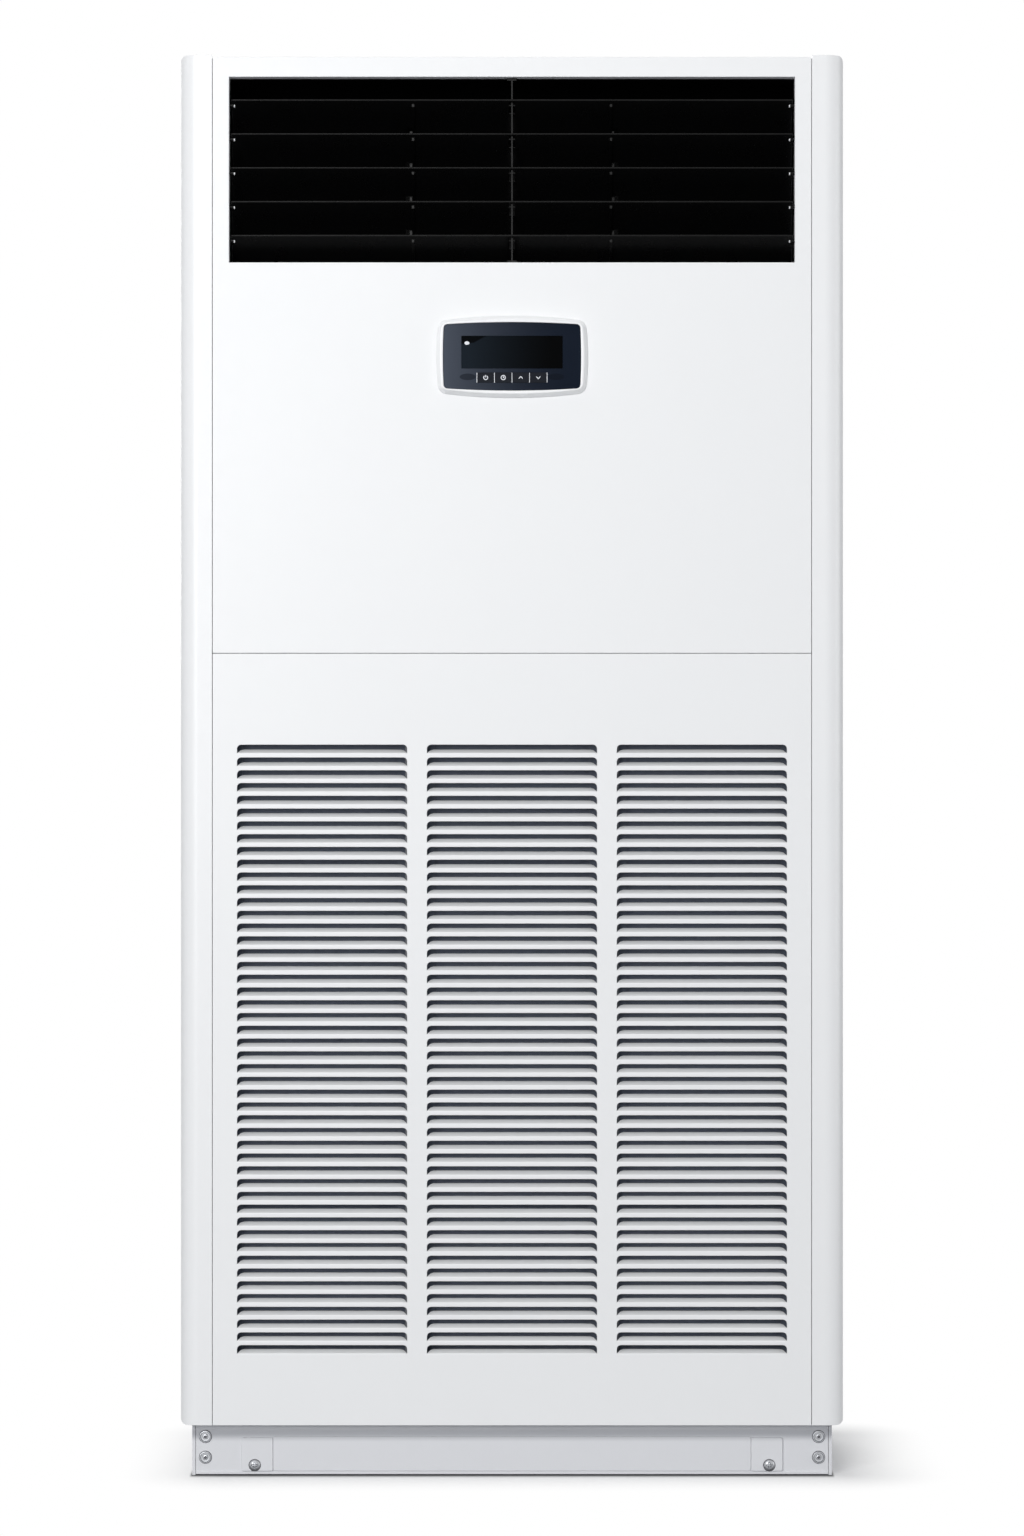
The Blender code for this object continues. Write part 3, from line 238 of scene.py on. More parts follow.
class FinishSettings(bpy.types.PropertyGroup):
    paint: colour("Powder paint of the sheet panels", (0.865, 0.872, 0.880))
    moulding: colour("Moulded columns and blade clips", (0.872, 0.878, 0.886))
    back_paint: colour("Painted back sheet", (0.60, 0.61, 0.62))
    bezel: colour("Brighter moulding round the control panel", (0.905, 0.910, 0.918))
    plinth: colour("Painted plinth rails and cover", (0.735, 0.742, 0.768))
    clip: colour("Plastic clip plates of the plinth", (0.74, 0.747, 0.772))
    black: colour("Blades, links and duct", (0.0014, 0.0014, 0.0015))
    cheek: colour("Painted inner sides of the duct", (0.80, 0.83, 0.88))
    grey: colour("Bearings and filter frame", (0.20, 0.21, 0.23))
    zinc: colour("Galvanised sheet and fasteners", (0.42, 0.43, 0.45))
    # Painted shade: washers and socket discs this dark stand in for the shade round the heads and
    # in the sockets.
    washer: colour("Dark washers under bolts and screws", (0.10, 0.10, 0.11))
    filter_mesh: colour("Woven net of the filters", (0.10, 0.12, 0.165))
    fascia: colour("Dark blue sheet of the control panel", (0.0035, 0.0075, 0.0170))
    # Painted reflection: the glossy sheet's colour where it is lightened at its left end.
    fascia_left: colour("The same sheet at its left end", (0.066, 0.078, 0.103))
    keys: colour("Membrane keys", (0.0030, 0.0050, 0.0100))
    display: colour("Dark display window", (0.0003, 0.0005, 0.0008))
    # Painted reflection: the window's colour where it is lightened at its left.
    display_left: colour("The same window at its left", (0.0100, 0.0150, 0.0215))
    symbols: colour("Printed symbols and lines", (0.78, 0.80, 0.84))
    rubber: colour("Grommets of the back sheet", (0.028, 0.028, 0.030))


class StageSettings(bpy.types.PropertyGroup):
    camera_distance: length("From the front face", 6.0)
    camera_height: length("Above the floor", 0.9223)
    focal_length: amount("Millimetres on a 36 mm side", 108.1)
    shadow_reach: length("How far the floor's shadow shows", 0.15)
    world: amount("Strength of the even light", 0.31)
    world_colour: colour("Tint of the even light", (0.965, 0.982, 1.0))
    key: amount("Power of the main lamp, in watts", 362.0)
    top: amount("Power of the lamp overhead, in watts", 16.0)
    side: amount("Power of the lamp on the right, in watts", 40.0)
    back: amount("Power of the lamp behind, in watts", 120.0)


SETTING_GROUPS = {
    "sheet": SheetSettings, "outlet": OutletSettings, "louvre": LouvreSettings,
    "column": ColumnSettings, "blade": BladeSettings, "bezel": BezelSettings,
    "keypad": KeypadSettings, "plinth": PlinthSettings, "fastener": FastenerSettings,
    "finish": FinishSettings, "stage": StageSettings,
}


class AirConditionerSettings(bpy.types.PropertyGroup):
    """Every group of sizes and looks, by name"""
    __annotations__ = {name: PointerProperty(type=group)
                       for name, group in SETTING_GROUPS.items()}


# Surfaces

class Skin:
    """Grids of points that together make one piece."""

    def __init__(self):
        self.points, self.faces, self.total = [], [], 0

    def add(self, points, faces):
        """Keep points with the faces that are counted from the first of them."""
        points = np.asarray(points, dtype=float).reshape(-1, 3)
        self.faces += [[corner + self.total for corner in face] for face in faces]
        self.points.append(points)
        self.total += len(points)
        return self

    def grid(self, points, wrap=False, is_open=None):
        """Rows by columns of points as quads. Wrap joins the last column to the first.

        The cells that is_open marks (rows by columns) are left out.
        """
        rows, columns = np.shape(points)[:2]
        index = np.arange(rows * columns).reshape(rows, columns)
        if wrap:
            index = np.concatenate((index, index[:, :1]), axis=1)
        quads = np.stack((index[:-1, :-1], index[:-1, 1:], index[1:, 1:], index[1:, :-1]), -1)
        if is_open is not None:
            quads = quads[~is_open]
        return self.add(points, quads.reshape(-1, 4).tolist())

    def loft(self, rings):
        """Closed rings joined one to the next, with a flat face on each end."""
        self.grid(rings, wrap=True)
        for end in (rings[0], rings[-1]):
            self.add(end, [range(len(end))])
        return self

    def copies(self, other, shifts):
        """Another skin set down once at every shift."""
        points = np.concatenate(other.points)
        for shift in shifts:
            self.add(points + shift, other.faces)
        return self

    def moved(self, change):
        """The same skin with a function applied to all its points at once."""
        self.points = [change(np.concatenate(self.points))]
        return self

    def make(self, name, finish, body="cabinet", replaces=(), wall=0.0, middle=False,
             open_faces=None, edge=0.0, sharp=30.0):
        """Weld the grids, turn the faces outward and put the piece in the scene.

        A wall gives an open skin its thickness, inward from the faces that point along
        open_faces, or to both sides of a middle surface. An edge rounds the corners by its
        radius. Faces that meet at less than the sharp angle are shaded as one.
        """
        mesh = bpy.data.meshes.new(name)
        mesh.from_pydata(np.concatenate(self.points).tolist(), [], self.faces)
        shape = bmesh.new()
        shape.from_mesh(mesh)
        bmesh.ops.remove_doubles(shape, verts=shape.verts, dist=2e-6)
        bmesh.ops.dissolve_degenerate(shape, edges=shape.edges, dist=1e-7)
        bmesh.ops.recalc_face_normals(shape, faces=shape.faces)
        if open_faces is not None:
            lean = sum(face.normal.dot(Vector(open_faces)) * face.calc_area()
                       for face in shape.faces)
            if lean < 0:
                bmesh.ops.reverse_faces(shape, faces=shape.faces)
        shape.to_mesh(mesh)
        shape.free()
        mesh.shade_smooth()
        mesh.set_sharp_from_angle(angle=math.radians(sharp))
        piece = bpy.data.objects.new(name, mesh)
        bpy.context.scene.collection.objects.link(piece)
        if wall:
            solid = piece.modifiers.new("wall", "SOLIDIFY")
            solid.thickness = wall
            solid.offset = 0.0 if middle else -1.0
        if edge:
            bevel = piece.modifiers.new("edges", "BEVEL")
            bevel.width = edge
            bevel.segments = 3
            bevel.limit_method = "ANGLE"
            bevel.angle_limit = math.radians(40.0)
        even = piece.modifiers.new("flat faces", "WEIGHTED_NORMAL")
        even.weight = 100
        even.keep_sharp = True
        material = ensure_finishes()[finish]
        mesh.materials.append(material)
        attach(piece, body)
        if replaces:
            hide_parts(*replaces)


def turn(radius, start, stop, steps):
    """Points of an arc round the origin, as an array of pairs, angles in degrees."""
    turns = np.radians(np.linspace(start, stop, steps + 1))
    return radius * np.stack((np.cos(turns), np.sin(turns)), -1)


def front(pairs, y):
    """Pairs of x and z, or one pair, as points at a depth y."""
    pairs = np.asarray(pairs, dtype=float)
    return np.stack((pairs[..., 0], np.broadcast_to(y, pairs.shape[:-1]), pairs[..., 1]), -1)


def lathe(profile, centre, steps=32):
    """A profile of (radius, y) pairs turned once round an axis along Y through a centre.

    Point (i, j) lies at x + r_i cos t_j, y_i, z + r_i sin t_j, with t_j going once round.
    """
    profile = np.asarray(profile, dtype=float)
    turns = np.linspace(0.0, math.tau, steps, endpoint=False)
    x = centre[0] + profile[:, :1] * np.cos(turns)
    z = centre[2] + profile[:, :1] * np.sin(turns)
    y = np.broadcast_to(centre[1] + profile[:, 1:], x.shape)
    return np.stack((x, y, z), -1)


def rounded_rectangle(half_x, half_z, radius, steps=4):
    """Outline of a rectangle with round corners: four quarter arcs joined by straight sides."""
    corners = []
    for start, (sign_x, sign_z) in zip((0, 90, 180, 270), ((1, 1), (-1, 1), (-1, -1), (1, -1))):
        centre = np.array((sign_x * (half_x - radius), sign_z * (half_z - radius)))
        corners.append(centre + turn(radius, start, start + 90, steps))
    return np.concatenate(corners)


def rounded_plate(low, high, corner, edge):
    """A plate facing -Y with round corners and a small round along its front edge.

    The outline moves in by edge * (1 - cos t) while it moves forward by edge * sin t.
    """
    centre, half = (low + high) / 2, (high - low) / 2
    rings = [front(rounded_rectangle(half.x, half.z, corner), high.y)]
    for share in np.radians((0.0, 30.0, 60.0, 90.0)):
        inset = edge * (1.0 - math.cos(share))
        outline = rounded_rectangle(half.x - inset, half.z - inset, corner - inset)
        rings.append(front(outline, low.y + edge * (1.0 - math.sin(share))))
    return Skin().loft(np.stack(rings) + (centre.x, 0.0, centre.z))


# Finishes

class Signal:
    """An output socket. Arithmetic on it adds Math nodes to its tree."""

    def __init__(self, tree, socket):
        self.tree, self.socket = tree, socket

    def math(self, operation, first, second=0.0):
        return add_node(self.tree, "ShaderNodeMath", {"operation": operation},
                        {0: first, 1: second})

    def __add__(self, other):
        return self.math("ADD", self, other)

    def __sub__(self, other):
        return self.math("SUBTRACT", self, other)

    def __rsub__(self, other):
        return self.math("SUBTRACT", other, self)

    def __mul__(self, other):
        return self.math("MULTIPLY", self, other)

    def __truediv__(self, other):
        return self.math("DIVIDE", self, other)

    def __pow__(self, other):
        return self.math("POWER", self, other)

    __radd__ = __add__
    __rmul__ = __mul__

    def size(self):
        """The value without its sign."""
        return self.math("ABSOLUTE", self)

    def inside(self):
        """The value kept between 0 and 1."""
        return self.math("MINIMUM", self.math("MAXIMUM", self, 0.0), 1.0)

    def wave(self, repeats):
        """A sine of the value, repeats times a unit, between -1 and 1."""
        return self.math("SINE", self * (math.tau * repeats))

    def step(self, low, high):
        """0 below low and 1 above high, with a soft rise between."""
        return add_node(self.tree, "ShaderNodeMapRange", {"interpolation_type": "SMOOTHSTEP"},
                        {"Value": self, "From Min": low, "From Max": high})


def plug(tree, socket, value):
    """Link a signal to a socket, or set the socket's value. None leaves it as it is."""
    if isinstance(value, Signal):
        tree.links.new(value.socket, socket)
    elif value is not None:
        socket.default_value = (*value, 1.0) if socket.type == "RGBA" else value


def add_node(tree, kind, settings=None, values=None, output=None):
    """Add a node: first its settings, then the values or links of its sockets."""
    node = tree.nodes.new(kind)
    for key, setting in (settings or {}).items():
        setattr(node, key, setting)
    for key, value in (values or {}).items():
        plug(tree, node.inputs[key] if isinstance(key, int) else
             next(entry for entry in node.inputs if entry.name == key and entry.enabled), value)
    shown = [entry for entry in node.outputs if entry.enabled]
    return Signal(tree, node.outputs[output] if output else shown[0])


class Finish:
    """One procedural material, its Principled shader and the patterns that feed it."""

    def __init__(self, name, slot, specular=0.5, metallic=0.0):
        self.material = bpy.data.materials.new(name)
        self.material.use_nodes = True
        self.material["slot"] = slot
        self.tree = self.material.node_tree
        self.shader = self.tree.nodes["Principled BSDF"]
        self.feed("Specular IOR Level", specular)
        self.feed("Metallic", metallic)
        self.place = self.node("ShaderNodeTexCoord", output="Object")
        split = self.node("ShaderNodeSeparateXYZ", values={0: self.place}).socket.node
        self.x, self.y, self.z = (Signal(self.tree, axis) for axis in split.outputs)

    def node(self, kind, settings=None, values=None, output=None):
        return add_node(self.tree, kind, settings, values, output)

    def feed(self, name, value):
        """Set a shader input, or link it."""
        plug(self.tree, self.shader.inputs[name], value)

    def surface(self, tint, roughness, gloss, height, distance, below=None):
        """Feed a tint, a roughness that follows gloss and a bump of a height."""
        self.feed("Base Color", tint)
        self.feed("Roughness", roughness + gloss)
        self.feed("Normal", self.bump(height, distance, below))
        return self.material

    def noise(self, scale, detail=2.0, stretch=(1.0, 1.0, 1.0)):
        """Cloudy noise between 0 and 1, scale features a metre."""
        place = self.node("ShaderNodeMapping", {"vector_type": "POINT"},
                          {"Vector": self.place, "Scale": stretch})
        return self.node("ShaderNodeTexNoise", values={"Vector": place, "Scale": scale,
                                                       "Detail": detail}, output="Fac")

    def blend(self, share, first, second):
        """One colour turning into another by a share."""
        return self.node("ShaderNodeMix", {"data_type": "RGBA"},
                         {"Factor": share, "A": first, "B": second})

    def shaded(self, base, share, change):
        """A colour made darker or lighter by up to a change, following a share of 0 to 1."""
        low = tuple(min(1.0, part * (1.0 - change)) for part in base)
        high = tuple(min(1.0, part * (1.0 + change)) for part in base)
        return self.blend(share, low, high)

    def bump(self, height, distance, below=None):
        """A normal raised by a height of 0 to 1 times a distance in metres."""
        return self.node("ShaderNodeBump", values={"Height": height, "Distance": distance,
                                                   "Normal": below}, output="Normal")


def painted(name, slot, base, roughness, peel=0.00003, dust=0.010):
    """Powder paint: orange peel, slightly wavy sheet and a faint change of shade."""
    finish = Finish(name, slot)
    wavy = finish.bump(finish.noise(2.6, 1.0, (1.0, 1.0, 0.6)), 0.0012)
    return finish.surface(finish.shaded(base, finish.noise(3.1, 3.0), dust),
                          roughness - 0.05, finish.noise(60.0, 4.0) * 0.10,
                          finish.noise(430.0, 3.0), peel, wavy)


def moulded(name, slot, base, roughness, grain=1500.0, depth=0.000012, specular=0.5,
            shade=0.012):
    """Moulded plastic: a fine even grain with slightly uneven gloss."""
    finish = Finish(name, slot, specular)
    return finish.surface(finish.shaded(base, finish.noise(6.0, 3.0), shade),
                          roughness - 0.04, finish.noise(35.0, 4.0) * 0.08,
                          finish.noise(grain, 2.0), depth)


def plinth_paint_with_painted_shade(name, slot, base, roughness):
    """Textured paint or plastic of the plinth, with painted shade under the cabinet's overhang.

    The painted shade grows over the first pair of heights above the floor and eases off over the
    second.
    """
    grows, eases = (0.0425, 0.0545), (0.0560, 0.0630)
    finish = Finish(name, slot)
    # Painted shade: the colour is darkened below the cabinet, where its overhang shades the plinth.
    shade = finish.z.step(*grows) * 0.56 - finish.z.step(*eases) * 0.34
    tint = finish.shaded(base, finish.noise(3.1, 3.0), 0.010)
    # The bluish dark colour is the tint of the painted shade.
    return finish.surface(finish.blend(shade, tint, (0.085, 0.095, 0.120)),
                          roughness - 0.05, finish.noise(60.0, 4.0) * 0.10,
                          finish.noise(520.0, 3.0), 0.00004)


def galvanised(name, slot, base, roughness=0.36, spangle=90.0):
    """Zinc: crystals that differ in shade and gloss."""
    finish = Finish(name, slot, metallic=0.85)
    cells = finish.node("ShaderNodeTexVoronoi", values={"Vector": finish.place,
                                                        "Scale": spangle}, output="Color")
    crystal = finish.node("ShaderNodeSeparateColor", values={0: cells}, output="Red")
    return finish.surface(finish.shaded(base, crystal, 0.10), roughness - 0.06, crystal * 0.14,
                          finish.noise(220.0, 3.0), 0.00002)


def dimmed(base, share):
    """A colour times a share."""
    return tuple(part * share for part in base)


def woven_filter(name, slot, base):
    """Filter net: threads across and up at a pitch of 1.6 mm, darker in the holes between."""
    pitch = 0.0016
    finish = Finish(name, slot)
    across, upward = (axis.wave(1.0 / pitch) * 0.5 + 0.5 for axis in (finish.x, finish.z))
    threads = across.math("MAXIMUM", across, upward)
    dust = finish.noise(24.0, 4.0)
    net = finish.blend(threads.step(0.35, 0.9), dimmed(base, 0.7), base)
    grey = finish.blend(dust * 0.35, net, (0.16, 0.165, 0.175))
    return finish.surface(grey, 0.72, dust * 0.15, threads, 0.0003)


def fascia_sheet(name, slot, base, painted_reflection_tint, roughness):
    """Dark blue sheet with a painted reflection that turns it lighter to its left, with a fine
    satin grain.

    Two shaded ovals low on the sheet, left and right of the keys, stand for the receivers.
    """
    dark_end, fade = 0.078, 0.170
    oval_x, oval_drop, half_x, half_z = 0.0575, 0.0265, 0.0105, 0.0043
    finish = Finish(name, slot, 0.03)
    # Share of the painted reflection, growing towards the left.
    left = (dark_end - finish.x) / fade
    tint = finish.blend(left.inside() ** 2.0, base, painted_reflection_tint)
    tint = finish.blend(finish.noise(30.0, 3.0) * 0.04, tint, painted_reflection_tint)
    along = (finish.x.size() - oval_x) / half_x
    upward = (finish.z - (FASCIA_CENTRE.z - oval_drop)) / half_z
    oval = (along * along + upward * upward).step(1.12, 0.88)
    return finish.surface(finish.blend(oval * 0.6, tint, dimmed(base, 0.5)),
                          roughness - 0.03, finish.noise(70.0, 3.0) * 0.06,
                          finish.noise(900.0, 2.0), 0.000006)


def display_glass(name, slot, base, painted_reflection_tint):
    """Near-black window with a painted reflection that turns it bluer towards its left, darker over
    a slanting upper left corner.
    """
    dark_end, fade = 0.055, 0.110
    shallow, steep = 0.10, 0.555
    finish = Finish(name, slot, 0.03)
    # Share of the painted reflection, growing towards the left.
    left = (dark_end - finish.x) / fade
    tint = finish.blend(left.inside() ** 1.6, base, painted_reflection_tint)
    from_left = finish.x - DISPLAY_LOW.x
    from_top = DISPLAY_HIGH.z - finish.z
    corner = (from_left * shallow + from_top).step(0.0104, 0.0100)
    corner = corner * (from_left * steep + from_top).step(0.0180, 0.0174)
    return finish.surface(finish.blend(corner * 0.92, tint, base),
                          0.07, finish.noise(28.0, 4.0) * 0.06, finish.noise(5.0, 1.0), 0.0001)


def duct_plastic(name, slot, base, cheek, cheek_x):
    """Black duct with a fine grain; its inner sides past cheek_x are painted near the front."""
    painted_to, blur = -0.152, 0.002
    finish = Finish(name, slot, 0.1)
    side = finish.x.size().step(cheek_x - 0.0002, cheek_x)
    side = side * finish.y.step(painted_to + blur, painted_to)
    black = finish.shaded(base, finish.noise(6.0, 3.0), 0.08)
    return finish.surface(finish.blend(side, black, cheek), 0.42,
                          finish.noise(35.0, 4.0) * 0.08, finish.noise(1100.0, 2.0), 0.00002)


LOOKS = {  # kind of finish, material, slot, its colours, and the kind's own values
    "paint": (painted, "white powder paint", "white_paint", ("paint",), 0.36),
    "moulding": (moulded, "white moulding", "white_moulding", ("moulding",), 0.34),
    "back": (painted, "grey back paint", "back_paint", ("back_paint",), 0.46, 0.00004),
    # The plinth and clip finishes carry painted shade under the cabinet.
    "plinth": (plinth_paint_with_painted_shade, "plinth paint", "plinth_paint", ("plinth",), 0.42),
    "clip": (plinth_paint_with_painted_shade, "clip plastic", "clip_plastic", ("clip",), 0.45),
    "bezel": (moulded, "bezel moulding", "white_moulding", ("bezel",), 0.26),
    "black": (moulded, "black plastic", "black_plastic", ("black",), 0.28, 1100.0, 0.00001,
              0.16, 0.08),
    "duct": (duct_plastic, "duct plastic", "black_plastic", ("black", "cheek"), BEARING_LOW.x),
    "grey": (moulded, "grey plastic", "grey_plastic", ("grey",), 0.5),
    "zinc": (galvanised, "galvanised sheet", "galvanised", ("zinc",)),
    "washer": (galvanised, "washer zinc", "galvanised", ("washer",), 0.5),
    "steel": (galvanised, "plated fasteners", "galvanised", ("zinc",), 0.36, 2400.0),
    "filter": (woven_filter, "filter net", "filter_mesh", ("filter_mesh",)),
    "fascia": (fascia_sheet, "fascia sheet", "fascia", ("fascia", "fascia_left"), 0.30),
    "display": (display_glass, "display window", "display", ("display", "display_left")),
    "keys": (moulded, "membrane keys", "keys", ("keys",), 0.34, 900.0, 0.000006, 0.08),
    "print": (moulded, "pale print", "keys", ("symbols",), 0.5, 2400.0, 0.000004),
    "rubber": (moulded, "grommet rubber", "rubber", ("rubber",), 0.7, 700.0, 0.00003),
}
CARRIED_OVER = {
    "paint": ("top_panel", "left_side_panel", "right_side_panel"),
    "back": ("back_panel",),
    "plinth": ("plinth_back_rail", "plinth_left_rail", "plinth_right_rail"),
    "zinc": ("base_pan", "cross_rail"),
    "grey": ("filter_frame", "louvre_bearing_left", "louvre_bearing_right"),
    "filter": ("air_filter_left", "air_filter_centre", "air_filter_right"),
    "black": ("louvre_centre_stay", "louvre_link_left", "louvre_link_right"),
    "duct": ("outlet_duct",),
    "fascia": ("control_fascia",),
    "display": ("display_window",),
    "keys": ("key_1", "key_2", "key_3", "key_4"),
}
FINISHES = {}


def ensure_finishes():
    """Make the finishes once, for whichever operator comes first."""
    if not FINISHES:
        colours = bpy.context.scene.air_conditioner.finish
        for key, (kind, name, slot, tints, *values) in LOOKS.items():
            FINISHES[key] = kind(name, slot, *(getattr(colours, tint) for tint in tints),
                                 *values)
    return FINISHES


# Front panels

def border(x_lines, z_lines, grow, y):
    """Ring through the outer points of a grid of lines, its four sides moved out by grow."""
    x, z = np.array(x_lines, dtype=float), np.array(z_lines, dtype=float)
    x[[0, -1]] += (-grow, grow)
    z[[0, -1]] += (-grow, grow)
    ring = np.concatenate((np.stack((x, np.full_like(x, z[0])), -1),
                           np.stack((np.full_like(z, x[-1]), z), -1)[1:],
                           np.stack((x, np.full_like(x, z[-1])), -1)[-2::-1],
                           np.stack((np.full_like(z, x[0]), z), -1)[-2:0:-1]))
    return front(ring, y)


def folded_rings(x_lines, z_lines, radius, steps, outward=1.0):
    """Rings from the face round a bend and straight back.

    At an angle t of the bend the ring has grown by radius * sin t and stands
    radius * (1 - cos t) behind the face. Outward is -1 round an opening.
    """
    turns = np.radians(np.linspace(0.0, 90.0, steps + 1))
    rings = [border(x_lines, z_lines, outward * radius * math.sin(bend),
                    FRONT_Y + radius * (1.0 - math.cos(bend))) for bend in turns]
    return rings + [border(x_lines, z_lines, outward * radius, FLANGE_BACK_Y)]


def folded_sheet(sheet, x_lines, z_lines, is_open):
    """Skin of a flat face between the lines, open where is_open says, and its folded edges."""
    skin = Skin().grid(front(np.stack(np.meshgrid(x_lines, z_lines), -1), FRONT_Y),
                       is_open=is_open)
    return skin.grid(folded_rings(x_lines, z_lines, sheet.bend_radius, sheet.bend_steps), wrap=True)


def upper_panel_skin(settings):
    """Upper sheet: a flat face, its folded edges and the collar folded in round the outlet."""
    sheet, outlet = settings.sheet, settings.outlet
    half = UPPER_HIGH.x - sheet.bend_radius
    opening = BEARING_LOW.x - outlet.side_gap + outlet.edge_radius
    x_lines = np.array((-half, -opening, opening, half))
    z_lines = np.array((UPPER_LOW.z + sheet.bend_radius, BEARING_LOW.z - outlet.edge_radius,
                        BEARING_HIGH.z + outlet.edge_radius, UPPER_HIGH.z - sheet.bend_radius))
    is_open = np.zeros((3, 3), dtype=bool)
    is_open[1, 1] = True
    skin = folded_sheet(sheet, x_lines, z_lines, is_open)
    return skin.grid(folded_rings(x_lines[1:3], z_lines[1:3], outlet.edge_radius,
                                  sheet.bend_steps, -1.0), wrap=True)


def louvre_skin(louvre, span):
    """One louvre from its slot's lower left corner: rolled edge, filled corners and tongue.

    The tongue's middle line follows an arc of the bend radius from the sheet's face, then runs
    straight; each side moves in by the taper times the share of the developed length.
    """
    skin = Skin()
    roll, radius = louvre.roll, louvre.corner + louvre.roll
    root = -louvre.bend_radius * math.tan(louvre.bend / 2)
    top = louvre.height
    corner = turn(1.0, 90.0, 180.0, 3)

    def outline(grow):
        reach = louvre.corner + grow
        left = corner * reach + (louvre.corner, top - louvre.corner)
        left = np.concatenate((left, ((-grow, root),)))[::-1]
        return np.concatenate((left, (left * (-1.0, 1.0) + (span, 0.0))[::-1]))

    outer, inner = outline(roll), outline(0.0)
    skin.grid(np.stack((front(outer, 0.0), front(inner, roll))))
    arc_points = outer[1:5]
    for points, tip in ((arc_points, (-roll, top + roll)),
                        (arc_points * (-1.0, 1.0) + (span, 0.0), (span + roll, top + roll))):
        skin.grid(np.stack((front(points, 0.0), front(np.tile(tip, (4, 1)), 0.0))))
    turns = np.linspace(0.0, louvre.bend, 4)
    bent = louvre.bend_radius * np.stack((1.0 - np.cos(turns), np.sin(turns)), -1)
    along = np.array((math.sin(louvre.bend), math.cos(louvre.bend)))
    straight = louvre.height - louvre.bend_radius * math.tan(louvre.bend / 2)
    shares = np.array(((0.72,), (1.0,)))
    middle = np.concatenate((bent, bent[-1] + along * straight * shares))
    run = np.concatenate(([0.0], np.cumsum(np.hypot(*np.diff(middle, axis=0).T))))
    inset = louvre.taper * run / run[-1]
    inset[-1] += louvre.corner * 0.55
    reach = radius + np.clip(inset - radius * 0.6, 0.0, None)
    columns = np.stack((inset - roll, inset - roll + reach, span - inset + roll - reach,
                        span - inset + roll), -1)
    skin.grid(np.stack((columns, np.repeat(middle[:, :1], 4, 1),
                        np.repeat(middle[:, 1:] + root, 4, 1)), -1))
    return skin


def louvred_panel_skin(settings):
    """Lower sheet: flat face, folded edges and every louvre set down on its grid of lines."""
    sheet, louvre = settings.sheet, settings.louvre
    half = LOWER_HIGH.x - sheet.bend_radius
    grille_half = LOWER_HIGH.x - louvre.side_margin
    gaps = (louvre.columns - 1) * louvre.column_gap
    span = (2 * grille_half - gaps) / louvre.columns
    radius = louvre.corner + louvre.roll
    lefts = -grille_half + np.arange(louvre.columns) * (span + louvre.column_gap)
    first = LOWER_HIGH.z - louvre.top_margin - louvre.height
    lows = (first - np.arange(louvre.rows) * louvre.pitch)[::-1]
    root = louvre.bend_radius * math.tan(louvre.bend / 2)
    edge = louvre.roll
    x_steps = np.array((-edge, radius - edge, span + edge - radius, span + edge))
    z_steps = np.array((-root, louvre.height + edge - radius, louvre.height + edge))
    x_lines = np.concatenate(([-half], (lefts[:, None] + x_steps).ravel(), [half]))
    z_lines = np.concatenate(([LOWER_LOW.z + sheet.bend_radius],
                              (lows[:, None] + z_steps).ravel(),
                              [LOWER_HIGH.z - sheet.bend_radius]))
    open_x = np.concatenate(([False], np.tile((True, True, True, False), louvre.columns)))
    open_z = np.concatenate(([False], np.tile((True, True, False), louvre.rows)))
    skin = folded_sheet(sheet, x_lines, z_lines, np.outer(open_z, open_x))
    shifts = front(np.stack(np.meshgrid(lefts, lows), -1), FRONT_Y).reshape(-1, 3)
    return skin.copies(louvre_skin(louvre, span), shifts)


# Corner columns

def column_skin(column):
    """Right corner column: walls up a plan line, and a lid at each end.

    The plan line runs along the front, round an arc of the radius and back along the side. The
    height falls by r - sqrt(r^2 - d^2), where d is how far x is into the end radius r.
    """
    low, high = COLUMN_LOW, COLUMN_HIGH
    bend = turn(column.radius, -90.0, 0.0, 29) + (high.x - column.radius, low.y + column.radius)
    plan = np.concatenate((((low.x, high.y), (low.x, low.y)), bend, ((high.x, high.y),)))
    depth = np.clip(plan[:, 0] - (high.x - column.end_radius), 0.0, column.end_radius)
    drop = column.end_radius - np.sqrt(column.end_radius ** 2 - depth ** 2)
    ends = [np.column_stack((plan, z)) for z in (low.z + drop, high.z - drop)]
    skin = Skin().grid(ends)
    for end in ends:
        rim = end[1:-1]
        skin.grid((rim, rim * (1.0, 0.0, 1.0) + (0.0, high.y, 0.0)))
    return skin


# Outlet blades

def blade_frame(blade, pivot_z):
    """Turns a blade's own points about X by its slope, nose up, and sets them on the pivot."""
    cosine, sine = math.cos(blade.slope), math.sin(blade.slope)

    def place(points):
        x, y, z = np.moveaxis(np.asarray(points, dtype=float), -1, 0)
        return np.stack((x, FRONT_Y + blade.pivot_setback + y * cosine + z * sine,
                         pivot_z - y * sine + z * cosine), -1)
    return place


def camber(blade, y):
    """Rise of the blade's middle over its pivot: a parabola over the chord, 0 at the pivot."""
    def arch(place):
        share = (place + blade.nose) / blade.chord
        return 4.0 * blade.camber * share * (1.0 - share)
    return arch(np.asarray(y, dtype=float)) - arch(0.0)


